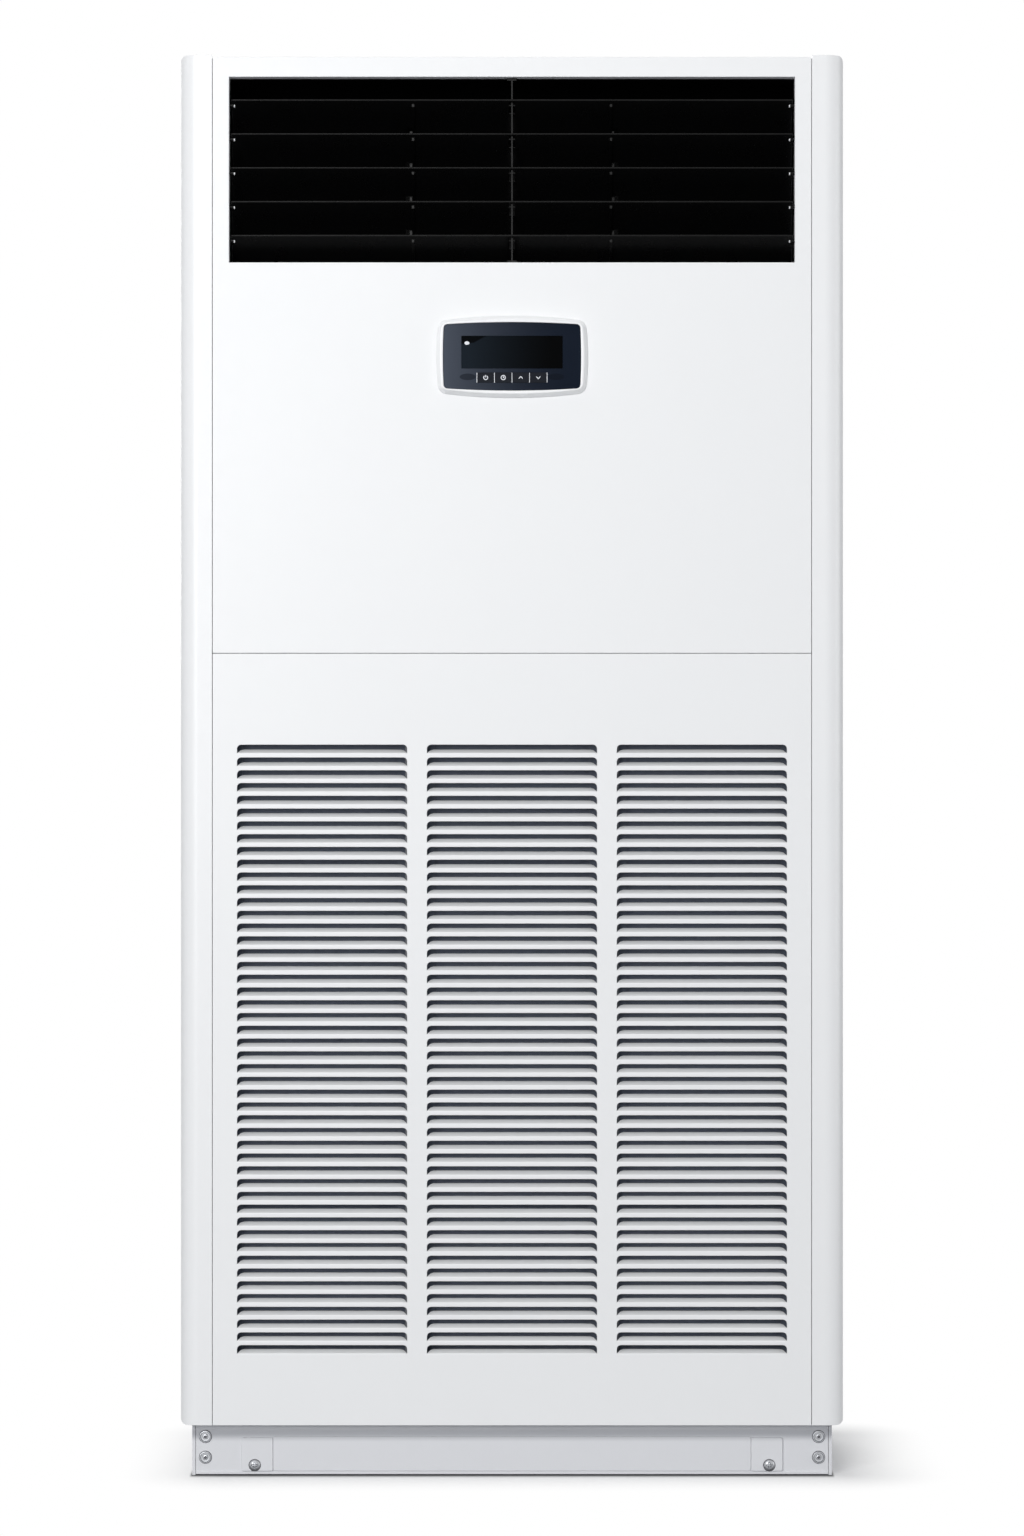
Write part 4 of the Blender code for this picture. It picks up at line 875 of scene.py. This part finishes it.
def blade_skin(blade, half):
    """Middle surface of a blade: cambered, with the window of the stay and two link notches."""
    tail = blade.chord - blade.nose
    notch = (blade.rib_offset, blade.rib_offset + blade.rib_thickness / 2 + blade.notch_width)
    x_lines = np.array((-half, -notch[1], -notch[0], -blade.window_half, blade.window_half,
                        notch[0], notch[1], half))
    y_lines = np.concatenate((np.linspace(-blade.nose, -blade.window_front, 3),
                              np.linspace(-blade.window_front, blade.window_back, 8)[1:],
                              np.linspace(blade.window_back, tail - blade.notch_depth, 9)[1:],
                              np.linspace(tail - blade.notch_depth, tail, 4)[1:]))
    x, y = np.meshgrid(x_lines, y_lines)
    points = np.stack((x, y, camber(blade, y)), -1)
    middles = (y_lines[1:] + y_lines[:-1]) / 2
    in_window = (middles > -blade.window_front) & (middles < blade.window_back)
    in_notch = middles > tail - blade.notch_depth
    is_open = np.zeros((len(middles), 7), dtype=bool)
    is_open[in_window, 3] = True
    is_open[np.ix_(in_notch, (1, 5))] = True
    return Skin().grid(points, is_open=is_open)


def pin(radius, start, stop, side=1, place=(0.0, 0.0), edge=0.0003):
    """A round pin along X on one side, with a small chamfer on both ends, as rings of points."""
    start, stop = sorted((side * start, side * stop))
    profile = np.array(((radius - edge, start), (radius, start + edge), (radius, stop - edge),
                        (radius - edge, stop)))
    rings = lathe(profile, (place[0], 0.0, place[1]), 20)
    return rings[..., (1, 0, 2)]


def end_clips_skin(blade, half):
    """The pale clip ring that holds the pin near each end of a blade."""
    skin = Skin()
    near = half - blade.clip_inset
    for side in (-1, 1):
        skin.loft(pin(blade.clip_radius, near, near + blade.clip_width, side))
    return skin


def fittings_skin(blade, half):
    """Ribs, end bosses and every pin of a blade."""
    tail = blade.chord - blade.nose
    under = np.linspace(-0.1 * blade.nose, 0.72 * tail, 8)
    ear = turn(blade.ear_radius, -108.0, 108.0, 10) + (blade.crank_reach, 0.0)
    over = np.linspace(0.9 * tail, -0.4 * blade.nose, 9)
    outline = np.concatenate((np.stack((under, camber(blade, under) - blade.rib_height), -1), ear,
                              np.stack((over, camber(blade, over)), -1)))
    skin = Skin()
    for side in (-1, 1):
        near = side * blade.rib_offset - blade.rib_thickness / 2
        skin.loft([np.column_stack((np.full(len(outline), x), outline))
                   for x in (near, near + blade.rib_thickness)])
        skin.loft(pin(blade.pin_radius, blade.rib_offset, blade.rib_offset + blade.link_pin,
                      side, (blade.crank_reach, 0.0), 0.0002))
        skin.loft(pin(blade.boss_radius, half - 0.002, half - 0.0002, side))
        skin.loft(pin(blade.end_pin_radius, half - 0.001, half + blade.end_pin, side))
    reach = blade.window_half + 0.001
    return skin.loft(pin(blade.pin_radius, -reach, reach, edge=0.0002))


# Control panel

def bowed_outline(half_x, half_z, radius, lean_top, lean_side, inset=0.0, steps=8, bow=14):
    """A rounded rectangle whose sides bow outward in parabolas that leave the corners smoothly.

    Half_x and half_z reach to the middle of the corner arcs' outermost points; the inset moves
    the whole outline inward.
    """
    centre_x, centre_z = half_x - radius, half_z - radius
    reach = radius - inset
    corners = []
    for sign_x, sign_z, start in ((1, 1, 0), (-1, 1, 90), (-1, -1, 180), (1, -1, 270)):
        first, last = ((lean_side, lean_top) if start in (0, 180) else (lean_top, lean_side))
        corners.append(np.array((sign_x * centre_x, sign_z * centre_z))
                       + turn(reach, start + math.degrees(first),
                              start + 90 - math.degrees(last), steps))
    outline = []
    share = np.linspace(0.0, 1.0, bow + 1)[1:-1, None]
    for index, corner in enumerate(corners):
        before, after = corner[-1], corners[(index + 1) % 4][0]
        run = after - before
        long = math.hypot(*run)
        lean = lean_top if index in (0, 2) else lean_side
        outward = np.array((run[1], -run[0])) / long
        rise = long * math.tan(lean) * share * (1.0 - share)
        outline += [corner, before + run * share + outward * rise]
    return np.concatenate(outline)


def bezel_skin(bezel):
    """Moulded ring lofted through bowed outlines.

    From the sheet a plain slope rises inward, turns over a small round into the flat crest, and
    the crest blends into the fascia's outline, where a short wall drops to the fascia.
    """
    half_x = BEZEL_HIGH.x - bezel.bow_x
    half_z = (BEZEL_HIGH.z - BEZEL_LOW.z) / 2 - bezel.bow_z
    seat, rise = BEZEL_HIGH.y, BEZEL_HIGH.y - BEZEL_LOW.y

    def ring(inset, lift):
        outline = bowed_outline(half_x, half_z, bezel.corner_radius, bezel.bow_top,
                                bezel.bow_side, inset=inset)
        return front(outline, seat - rise * lift) + (0.0, 0.0, FASCIA_CENTRE.z)

    slope, crest = bezel.slope_width, bezel.crest_start
    turned = crest - slope
    rings = [ring(inset, lift) for inset, lift in (
        (0.0, 0.0), (0.0, 0.08), (0.0002, 0.13), (slope * 0.5, 0.52), (slope, 0.91),
        (slope + turned * 0.35, 0.965), (slope + turned * 0.7, 0.992), (crest, 1.0))]
    last = rings[-1]
    inner = bowed_outline(FASCIA_HIGH.x - bezel.inner_bow + FIT_GAP, bezel.inner_half + FIT_GAP,
                          bezel.inner_corner, bezel.bow_top / 2, bezel.bow_side / 2)
    wall = front(inner, 0.0) + (0.0, 0.0, FASCIA_CENTRE.z)
    sink = (BEZEL_HIGH.y - FASCIA_LOW.y) / rise
    for share, lift in ((0.3, 1.0), (0.62, 1.0), (0.82, 0.995), (0.93, 0.975), (0.985, 0.93),
                        (1.0, 0.87), (1.0, sink), (1.0, 0.0)):
        blended = last + (wall - last) * share
        blended[:, 1] = seat - rise * lift
        rings.append(blended)
    return Skin().grid(np.stack(rings + rings[:1]), wrap=True)


def stroke(skin, centres, width, y):
    """A flat line of a width along a path of x and z, moved half the width to both sides."""
    centres = np.asarray(centres, dtype=float)
    run = np.gradient(centres, axis=0)
    run /= np.hypot(*run.T)[:, None]
    side = np.stack((-run[:, 1], run[:, 0]), -1) * width / 2
    skin.grid(np.stack((front(centres - side, y), front(centres + side, y))))


def keypad_skin(keypad):
    """Dividers between the keys and one plain symbol on each: power, timer, up and down."""
    skin = Skin()
    boxes = [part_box(f"key_{number}") for number in range(1, 5)]
    middles = [(low + high) / 2 for low, high in boxes]
    pitch = middles[1].x - middles[0].x
    face = boxes[0][0].y - FIT_GAP / 10
    half = (boxes[0][1].z - boxes[0][0].z) / 2
    z = middles[0].z
    for number in range(5):
        x = middles[0].x + (number - 0.5) * pitch
        stroke(skin, ((x, z - half), (x, z + half)), keypad.divider_width,
               FASCIA_LOW.y - PRINT_LIFT)
    size, line = keypad.symbol_size / 2, keypad.symbol_size * 0.17
    chevron = np.array((((-0.8, -0.4), (0.0, 0.5)), ((0.0, 0.5), (0.8, -0.4))))
    shapes = (
        (turn(0.85, 125.0, 415.0, 24), ((0.0, 0.1), (0.0, 1.05))),
        (turn(0.9, 0.0, 360.0, 32), ((0.0, 0.55), (0.0, 0.0)), ((0.0, 0.0), (0.4, 0.0))),
        chevron,
        chevron * (1.0, -1.0),
    )
    for middle, lines in zip(middles, shapes):
        for points in lines:
            stroke(skin, size * np.asarray(points) + (middle.x, middle.z), line, face)
    return skin


def lamp_skin(keypad):
    """The small oval lamp mark near the display's upper left corner: a dished oval disc."""
    turns = np.linspace(0.0, math.tau, 28, endpoint=False)
    rings = []
    centre = (DISPLAY_LOW.x + keypad.lamp_from_left, DISPLAY_HIGH.z - keypad.lamp_from_top)
    for share, lift in ((1.0, 0.0), (0.94, 0.00012), (0.7, 0.00016), (0.05, 0.00016)):
        outline = np.stack((keypad.lamp_half_x * share * np.cos(turns),
                            keypad.lamp_half_z * share * np.sin(turns)), -1)
        rings.append(front(outline + centre, DISPLAY_LOW.y - PRINT_LIFT / 2 - lift))
    return Skin().loft(rings)


# Plinth, fasteners and grommets

def rail_skin(plinth):
    """Front rail: one folded section carried from end to end along X.

    The section runs round the folded hem, up the face, over the top flange and back inside, with
    a quarter round where the sheet turns.
    """
    low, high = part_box("plinth_front_rail")
    foot, face = low.z + plinth.shadow_gap, low.y + plinth.hem_depth
    soft, hem_top = plinth.soft, low.z + plinth.hem_height
    section = np.concatenate((
        ((high.y, foot),),
        turn(soft, 270.0, 180.0, 4) + (low.y + soft, foot + soft),
        turn(soft, 180.0, 90.0, 4) + (low.y + soft, hem_top - soft),
        ((face, hem_top + 0.0002),),
        turn(soft, 180.0, 90.0, 4) + (face + soft, high.z - soft),
        ((high.y, high.z), (high.y, high.z - plinth.sheet),
         (face + plinth.sheet, high.z - plinth.sheet), (face + plinth.sheet, foot + plinth.sheet),
         (high.y, foot + plinth.sheet))))
    return Skin().loft([np.column_stack((np.full(len(section), x), section))
                        for x in (low.x, high.x)])


def bolt_skin(radius, centre):
    """A flange bolt seen from its head: raised rim, dished face and a socket in the middle."""
    profile = ((1.0, 0.0), (1.0, -0.0020), (0.95, -0.0026), (0.87, -0.0027), (0.80, -0.0020),
               (0.74, -0.0006), (0.48, -0.0005), (0.43, -0.0011), (0.39, -0.0022),
               (0.26, -0.0024), (0.22, -0.0019), (0.21, -0.0003), (0.02, -0.0002))
    return Skin().loft(lathe(np.multiply(profile, (radius, 1.0)), centre, 36))


def washer_skin(radius, centre, socket=False):
    """A thin washer, made dark as painted shade round the head: a flat ring with a small slope at
    its rim; and a dark disc in a bolt's socket as painted shade in the recess.
    """
    profile = ((1.09, 0.0), (1.09, -0.0004), (1.06, -0.0007), (0.90, -0.0007), (0.90, 0.0))
    ring = lathe(np.multiply(profile, (radius, 1.0)), centre, 36)
    skin = Skin().grid(np.concatenate((ring, ring[:1])), wrap=True)
    if socket:
        # The dark disc sits in the socket as painted shade.
        profile = ((0.0, 0.0), (0.0, -0.0019), (-0.0004, -0.0022)) + np.array((radius * 0.25, 0.0))
        skin.loft(lathe(np.concatenate((profile, ((0.0001, -0.0022),))), centre, 16))
    return skin


def screw_skin(radius, centre):
    """A dome-head screw: r and y follow a circle's arc, with a cross pressed into the dome.

    The cross deepens points where x or z is near 0; it ends between 0.50 and 0.62 of the radius.
    """
    shares = np.linspace(1.0, 0.02, 22)
    height = radius * 0.42
    dome = np.sqrt(np.clip(1.0 - (shares * 0.93) ** 2, 0.0, 1.0))
    dome = (dome - dome[0]) / (1.0 - dome[0])
    profile = np.column_stack((radius * shares, -height * dome - 0.0004))
    profile = np.concatenate((((radius, 0.0),), profile))
    points = lathe(profile, centre, 48)
    offset = points - np.array(centre)
    arm = radius * 0.13
    near = np.minimum(np.abs(offset[..., 0]), np.abs(offset[..., 2]))
    out = np.hypot(offset[..., 0], offset[..., 2]) / radius
    groove = np.clip(1.6 - near / arm, 0.0, 1.0) * np.clip((0.62 - out) / 0.12, 0.0, 1.0)
    points[..., 1] += groove * height * 0.8
    return Skin().loft(points)


def grommet_skin(low, high):
    """A turned rubber ring: two rounded lips with the sheet's groove between them."""
    centre = (low + high) / 2
    rim = (high.x - low.x) / 2
    wall, groove_depth, groove_width = 0.009, 0.0053, 0.0018
    bore, groove = rim - wall, rim - groove_depth
    lip = (high.y - low.y - groove_width) / 2
    back, front_y = high.y - centre.y, low.y - centre.y
    soft = np.radians(np.linspace(0.0, 90.0, 5))
    edge = min(0.0014, lip * 0.6)

    def rounded(radius, y, out, away):
        """A quarter round at a corner, from facing out to facing away."""
        return [(radius - out * edge * (1.0 - math.cos(share)),
                 y - away * edge * (1.0 - math.sin(share))) for share in soft]

    profile = [(groove, front_y + lip), (rim, front_y + lip)]
    profile += rounded(rim, front_y, 1, -1) + rounded(bore, front_y, -1, -1)[::-1]
    profile += rounded(bore, back, -1, 1) + rounded(rim, back, 1, 1)[::-1]
    profile += [(rim, back - lip), (groove, back - lip)]
    rings = lathe(profile + profile[:1], centre, 56)
    return Skin().grid(rings, wrap=True)


# Operators

class PieceOperator:
    """What every operator of the unit shares."""
    bl_options = {"REGISTER", "UNDO"}

    def execute(self, context):
        self.build(context.scene.air_conditioner)
        return {"FINISHED"}


class AC_OT_carried_over(PieceOperator, bpy.types.Operator):
    """Give the carried-over sheets, rails, filters and rods their finish"""
    bl_idname = "air_conditioner.carried_over"
    bl_label = "Finish Carried-Over Parts"

    def build(self, settings):
        for finish, names in CARRIED_OVER.items():
            for name in names:
                for entry in frame["nodes"][name].material_slots:
                    entry.material = ensure_finishes()[finish]


class AC_OT_front_panels(PieceOperator, bpy.types.Operator):
    """Make the upper panel with its outlet and the lower panel with its pressed louvres"""
    bl_idname = "air_conditioner.front_panels"
    bl_label = "Front Panels"

    def build(self, settings):
        for skin, name, node in ((upper_panel_skin, "upper_panel", "upper_front_panel"),
                                 (louvred_panel_skin, "louvred_panel", "lower_front_panel")):
            skin(settings).make(name, "paint", wall=settings.sheet.thickness, replaces=(node,),
                                open_faces=(0, -1, 0))


class AC_OT_corner_columns(PieceOperator, bpy.types.Operator):
    """Make the two moulded corner columns"""
    bl_idname = "air_conditioner.corner_columns"
    bl_label = "Corner Columns"

    def build(self, settings):
        for side, name in SIDES:
            skin = column_skin(settings.column).moved(lambda points: points * (side, 1.0, 1.0))
            skin.make(f"corner_column_{name}", "moulding", wall=settings.column.wall,
                      replaces=(f"{name}_corner_trim",), open_faces=(side, -1, 0),
                      edge=settings.column.edge_radius)


class AC_OT_blades(PieceOperator, bpy.types.Operator):
    """Make the curved outlet blades with their ribs, bosses, pins and clips"""
    bl_idname = "air_conditioner.blades"
    bl_label = "Outlet Blades"

    def build(self, settings):
        blade = settings.blade
        half = BEARING_LOW.x - settings.outlet.side_gap - blade.end_gap
        for joint in frame["joints"]:
            name = joint["child"]
            if name not in BLADE_NAMES:
                continue
            place = blade_frame(blade, joint["pos_m"][2])
            sheet = {"wall": blade.thickness, "middle": True, "open_faces": (0, 0, 1),
                     "edge": blade.edge_radius}
            for skin, piece, finish, options in (
                    (blade_skin, f"outlet_{name}", "black", sheet),
                    (fittings_skin, f"{name}_ribs", "black", {}),
                    (end_clips_skin, f"{name}_clips", "moulding", {})):
                skin(blade, half).moved(place).make(piece, finish, body=name, replaces=(name,),
                                                    **options)


class AC_OT_control_panel(PieceOperator, bpy.types.Operator):
    """Make the bowed bezel, the key symbols and dividers, and the lamp mark"""
    bl_idname = "air_conditioner.control_panel"
    bl_label = "Control Panel"

    def build(self, settings):
        keypad = settings.keypad
        bezel_skin(settings.bezel).make("bezel_moulding", "bezel", replaces=("control_bezel",),
                                        sharp=50.0)
        keypad_skin(keypad).make("key_print", "print", wall=keypad.print_depth,
                                 open_faces=(0, -1, 0))
        lamp_skin(keypad).make("display_lamp", "print")


class AC_OT_plinth_plates(PieceOperator, bpy.types.Operator):
    """Make the plinth's front rail, cover and clip plates with their bolts and screws"""
    bl_idname = "air_conditioner.plinth_plates"
    bl_label = "Plinth Plates and Fasteners"

    def build(self, settings):
        plinth, fastener = settings.plinth, settings.fastener
        rounded_plate(*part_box("plinth_cover"), plinth.cover_corner, plinth.cover_edge).make(
            "plinth_cover_plate", "plinth", replaces=("plinth_cover",))
        rail_skin(plinth).make("plinth_rail", "plinth", replaces=("plinth_front_rail",))
        bolt_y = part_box("plinth_front_rail")[0].y + fastener.bolt_seat
        for side, name in SIDES:
            low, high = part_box(f"plinth_clip_{name}")
            rounded_plate(low, high, plinth.clip_corner, plinth.clip_edge).make(
                f"plinth_clip_plate_{name}", "clip", replaces=(f"plinth_clip_{name}",))
            screw = ((low.x if side < 0 else high.x) - side * fastener.screw_inset,
                     low.y + fastener.screw_seat, low.z + fastener.screw_height)
            upper, lower = ((side * fastener.bolt_offset, bolt_y, z)
                            for z in (fastener.bolt_upper, fastener.bolt_lower))
            for piece, skin, radius, place in (
                    (f"screw_{name}", screw_skin, fastener.screw_radius, screw),
                    (f"bolt_{name}_1", bolt_skin, fastener.bolt_radius, upper),
                    (f"bolt_{name}_2", bolt_skin, fastener.bolt_radius, lower)):
                skin(radius, place).make(f"plinth_{piece}", "steel")
                # Each washer, and a bolt's socket disc, is darkened as painted shade round the
                # head.
                washer_skin(radius, place, socket=skin is bolt_skin).make(
                    f"plinth_{piece}_washer", "washer")


class AC_OT_grommets(PieceOperator, bpy.types.Operator):
    """Make the rubber grommets of the back sheet"""
    bl_idname = "air_conditioner.grommets"
    bl_label = "Grommets"

    def build(self, settings):
        for node in ("pipe_grommet", "drain_grommet", "cable_grommet"):
            grommet_skin(*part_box(node)).make(f"{node}_ring", "rubber", replaces=(node,))


def pale_floor(reach):
    """Plain white floor that keeps the unit's shadow and fades to even white further out.

    The fade follows the distance to a rectangle a little right of the plinth's, up to a reach.
    Right at the plinth the floor's colour is painted dark, a painted contact shadow where the two
    touch.
    """
    finish = Finish("pale floor", "floor", 0.1)
    finish.feed("Roughness", 0.9)

    def away(middle, half, stretch):
        """Stretched distance to a rectangle: length of max(|p - middle| - half, 0)."""
        steps = (("SUBTRACT", middle), ("ABSOLUTE", None), ("SUBTRACT", half),
                 ("MAXIMUM", (0.0, 0.0, 0.0)), ("MULTIPLY", stretch))
        vector = finish.place
        for operation, other in steps:
            vector = finish.node("ShaderNodeVectorMath", {"operation": operation},
                                 {0: vector, 1: other})
        return finish.node("ShaderNodeVectorMath", {"operation": "LENGTH"}, {0: vector})

    far = away((0.03, 0.0, 0.0), (0.40, 0.1785, 0.0), (1.0, 1.0, 0.0)).step(-0.05, reach)
    # Painted contact shadow: 0 at the plinth's rectangle, rising to 1 within 30 mm of it.
    free_of_painted_shadow = away((0.0, 0.0, 0.0), (0.4168, 0.1785, 0.0), (6.0, 1.0, 0.0)).step(0.0, 0.03)
    # The near-black colour is the painted contact shadow; the pale one is the floor's own.
    finish.feed("Base Color", finish.blend(free_of_painted_shadow, (0.02, 0.02, 0.022), (0.96, 0.96, 0.965)))
    white = finish.node("ShaderNodeEmission", values={"Color": WHITE})
    dim = finish.node("ShaderNodeBsdfDiffuse", values={"Color": (0.38, 0.39, 0.41)})
    near = finish.node("ShaderNodeMixShader", values={
        0: far * free_of_painted_shadow, 1: Signal(finish.tree, finish.shader.outputs[0]), 2: white})
    mixed = finish.node("ShaderNodeMixShader", values={0: view_rays(finish.tree), 1: dim, 2: near})
    plug(finish.tree, finish.tree.nodes["Material Output"].inputs["Surface"], mixed)
    return finish.material


def view_rays(tree):
    """1 for rays from the camera, from gloss or through glass, and 0 for light on a surface."""
    camera, gloss, through = (add_node(tree, "ShaderNodeLightPath", output=f"Is {kind} Ray")
                              for kind in ("Camera", "Glossy", "Transmission"))
    return camera.math("MAXIMUM", camera.math("MAXIMUM", camera, gloss), through)


LAMPS = {  # place, target and size of each square soft lamp, in metres
    "key": ((-2.3, -7.0, 2.6), (0.0, -0.1, 1.0), 3.6),
    "top": ((-0.9, -0.8, 4.6), (0.0, -0.3, 0.0), 2.4),
    "side": ((4.5, -0.5, 1.4), (0.4, 0.0, 1.0), 2.4),
    "back": ((-1.0, 5.5, 2.6), (0.0, 0.2, 1.0), 3.0),
}


class AC_OT_stage(PieceOperator, bpy.types.Operator):
    """Set up the floor, the even light, four soft lamps and the level camera"""
    bl_idname = "air_conditioner.stage"
    bl_label = "Stage"

    def build(self, settings):
        stage = settings.stage
        scene = bpy.context.scene
        scene.view_settings.view_transform = "Standard"
        x, y = np.meshgrid(*[np.linspace(-8.0, 8.0, 9)] * 2)
        mesh = bpy.data.meshes.new("floor")
        skin = Skin().grid(np.stack((x, y, np.zeros_like(x)), -1))
        mesh.from_pydata(np.concatenate(skin.points).tolist(), [], skin.faces)
        mesh.materials.append(pale_floor(stage.shadow_reach))
        floor = bpy.data.objects.new("floor", mesh)
        scene.collection.objects.link(floor)
        self.light_world(scene, stage)
        for name, (place, target, size) in LAMPS.items():
            light = bpy.data.lights.new(f"{name} lamp", "AREA")
            light.energy = getattr(stage, name)
            light.size = size
            lamp = bpy.data.objects.new(light.name, light)
            lamp.location = place
            aim = Vector(target) - Vector(place)
            lamp.rotation_euler = aim.to_track_quat("-Z", "Y").to_euler()
            scene.collection.objects.link(lamp)
        lens = bpy.data.cameras.new("camera")
        lens.lens = stage.focal_length
        lens.sensor_width = 36.0
        lens.clip_end = 60.0
        camera = bpy.data.objects.new("camera", lens)
        camera.location = (0.0, FRONT_Y - stage.camera_distance, stage.camera_height)
        camera.rotation_euler = (math.radians(90.0), 0.0, 0.0)
        scene.collection.objects.link(camera)
        scene.camera = camera

    def light_world(self, scene, stage):
        """Even light, with plain white behind everything that a view ray reaches."""
        world = bpy.data.worlds.new("studio")
        world.use_nodes = True
        tree = world.node_tree
        even, white = (add_node(tree, "ShaderNodeBackground", values={"Color": tint,
                                                                      "Strength": strength})
                       for tint, strength in ((stage.world_colour, stage.world), (WHITE, 1.0)))
        mixed = add_node(tree, "ShaderNodeMixShader",
                         values={0: view_rays(tree), 1: even, 2: white})
        tree.links.new(mixed.socket, tree.nodes["World Output"].inputs["Surface"])
        scene.world = world


OPERATORS = (AC_OT_carried_over, AC_OT_front_panels, AC_OT_corner_columns, AC_OT_blades,
             AC_OT_control_panel, AC_OT_plinth_plates, AC_OT_grommets, AC_OT_stage)


class AC_PT_sidebar(bpy.types.Panel):
    """The unit's pieces and sizes"""
    bl_idname = "AC_PT_sidebar"
    bl_label = "Air Conditioner"
    bl_space_type = "VIEW_3D"
    bl_region_type = "UI"
    bl_category = "Air Conditioner"

    def draw(self, context):
        for operator in OPERATORS:
            self.layout.operator(operator.bl_idname)
        settings = context.scene.air_conditioner
        for name in SETTING_GROUPS:
            box = self.layout.box()
            box.label(text=name.title())
            group = getattr(settings, name)
            for entry in group.bl_rna.properties:
                if entry.identifier not in ("rna_type", "name"):
                    box.prop(group, entry.identifier)


CLASSES = (*SETTING_GROUPS.values(), AirConditionerSettings, *OPERATORS, AC_PT_sidebar)


def register():
    """Register every class, with the entries of the settings named after their identifiers."""
    for entry in CLASSES:
        if issubclass(entry, bpy.types.PropertyGroup):
            for name, value in entry.__annotations__.items():
                value.keywords["name"] = name.replace("_", " ").capitalize()
        bpy.utils.register_class(entry)
    bpy.types.Scene.air_conditioner = PointerProperty(type=AirConditionerSettings)


def unregister():
    del bpy.types.Scene.air_conditioner
    for entry in reversed(CLASSES):
        bpy.utils.unregister_class(entry)


def main():
    """Make every piece in order."""
    register()
    for operator in OPERATORS:
        group, name = operator.bl_idname.split(".")
        getattr(getattr(bpy.ops, group), name)()
    bpy.context.view_layer.update()


if __name__ == "__main__":
    main()
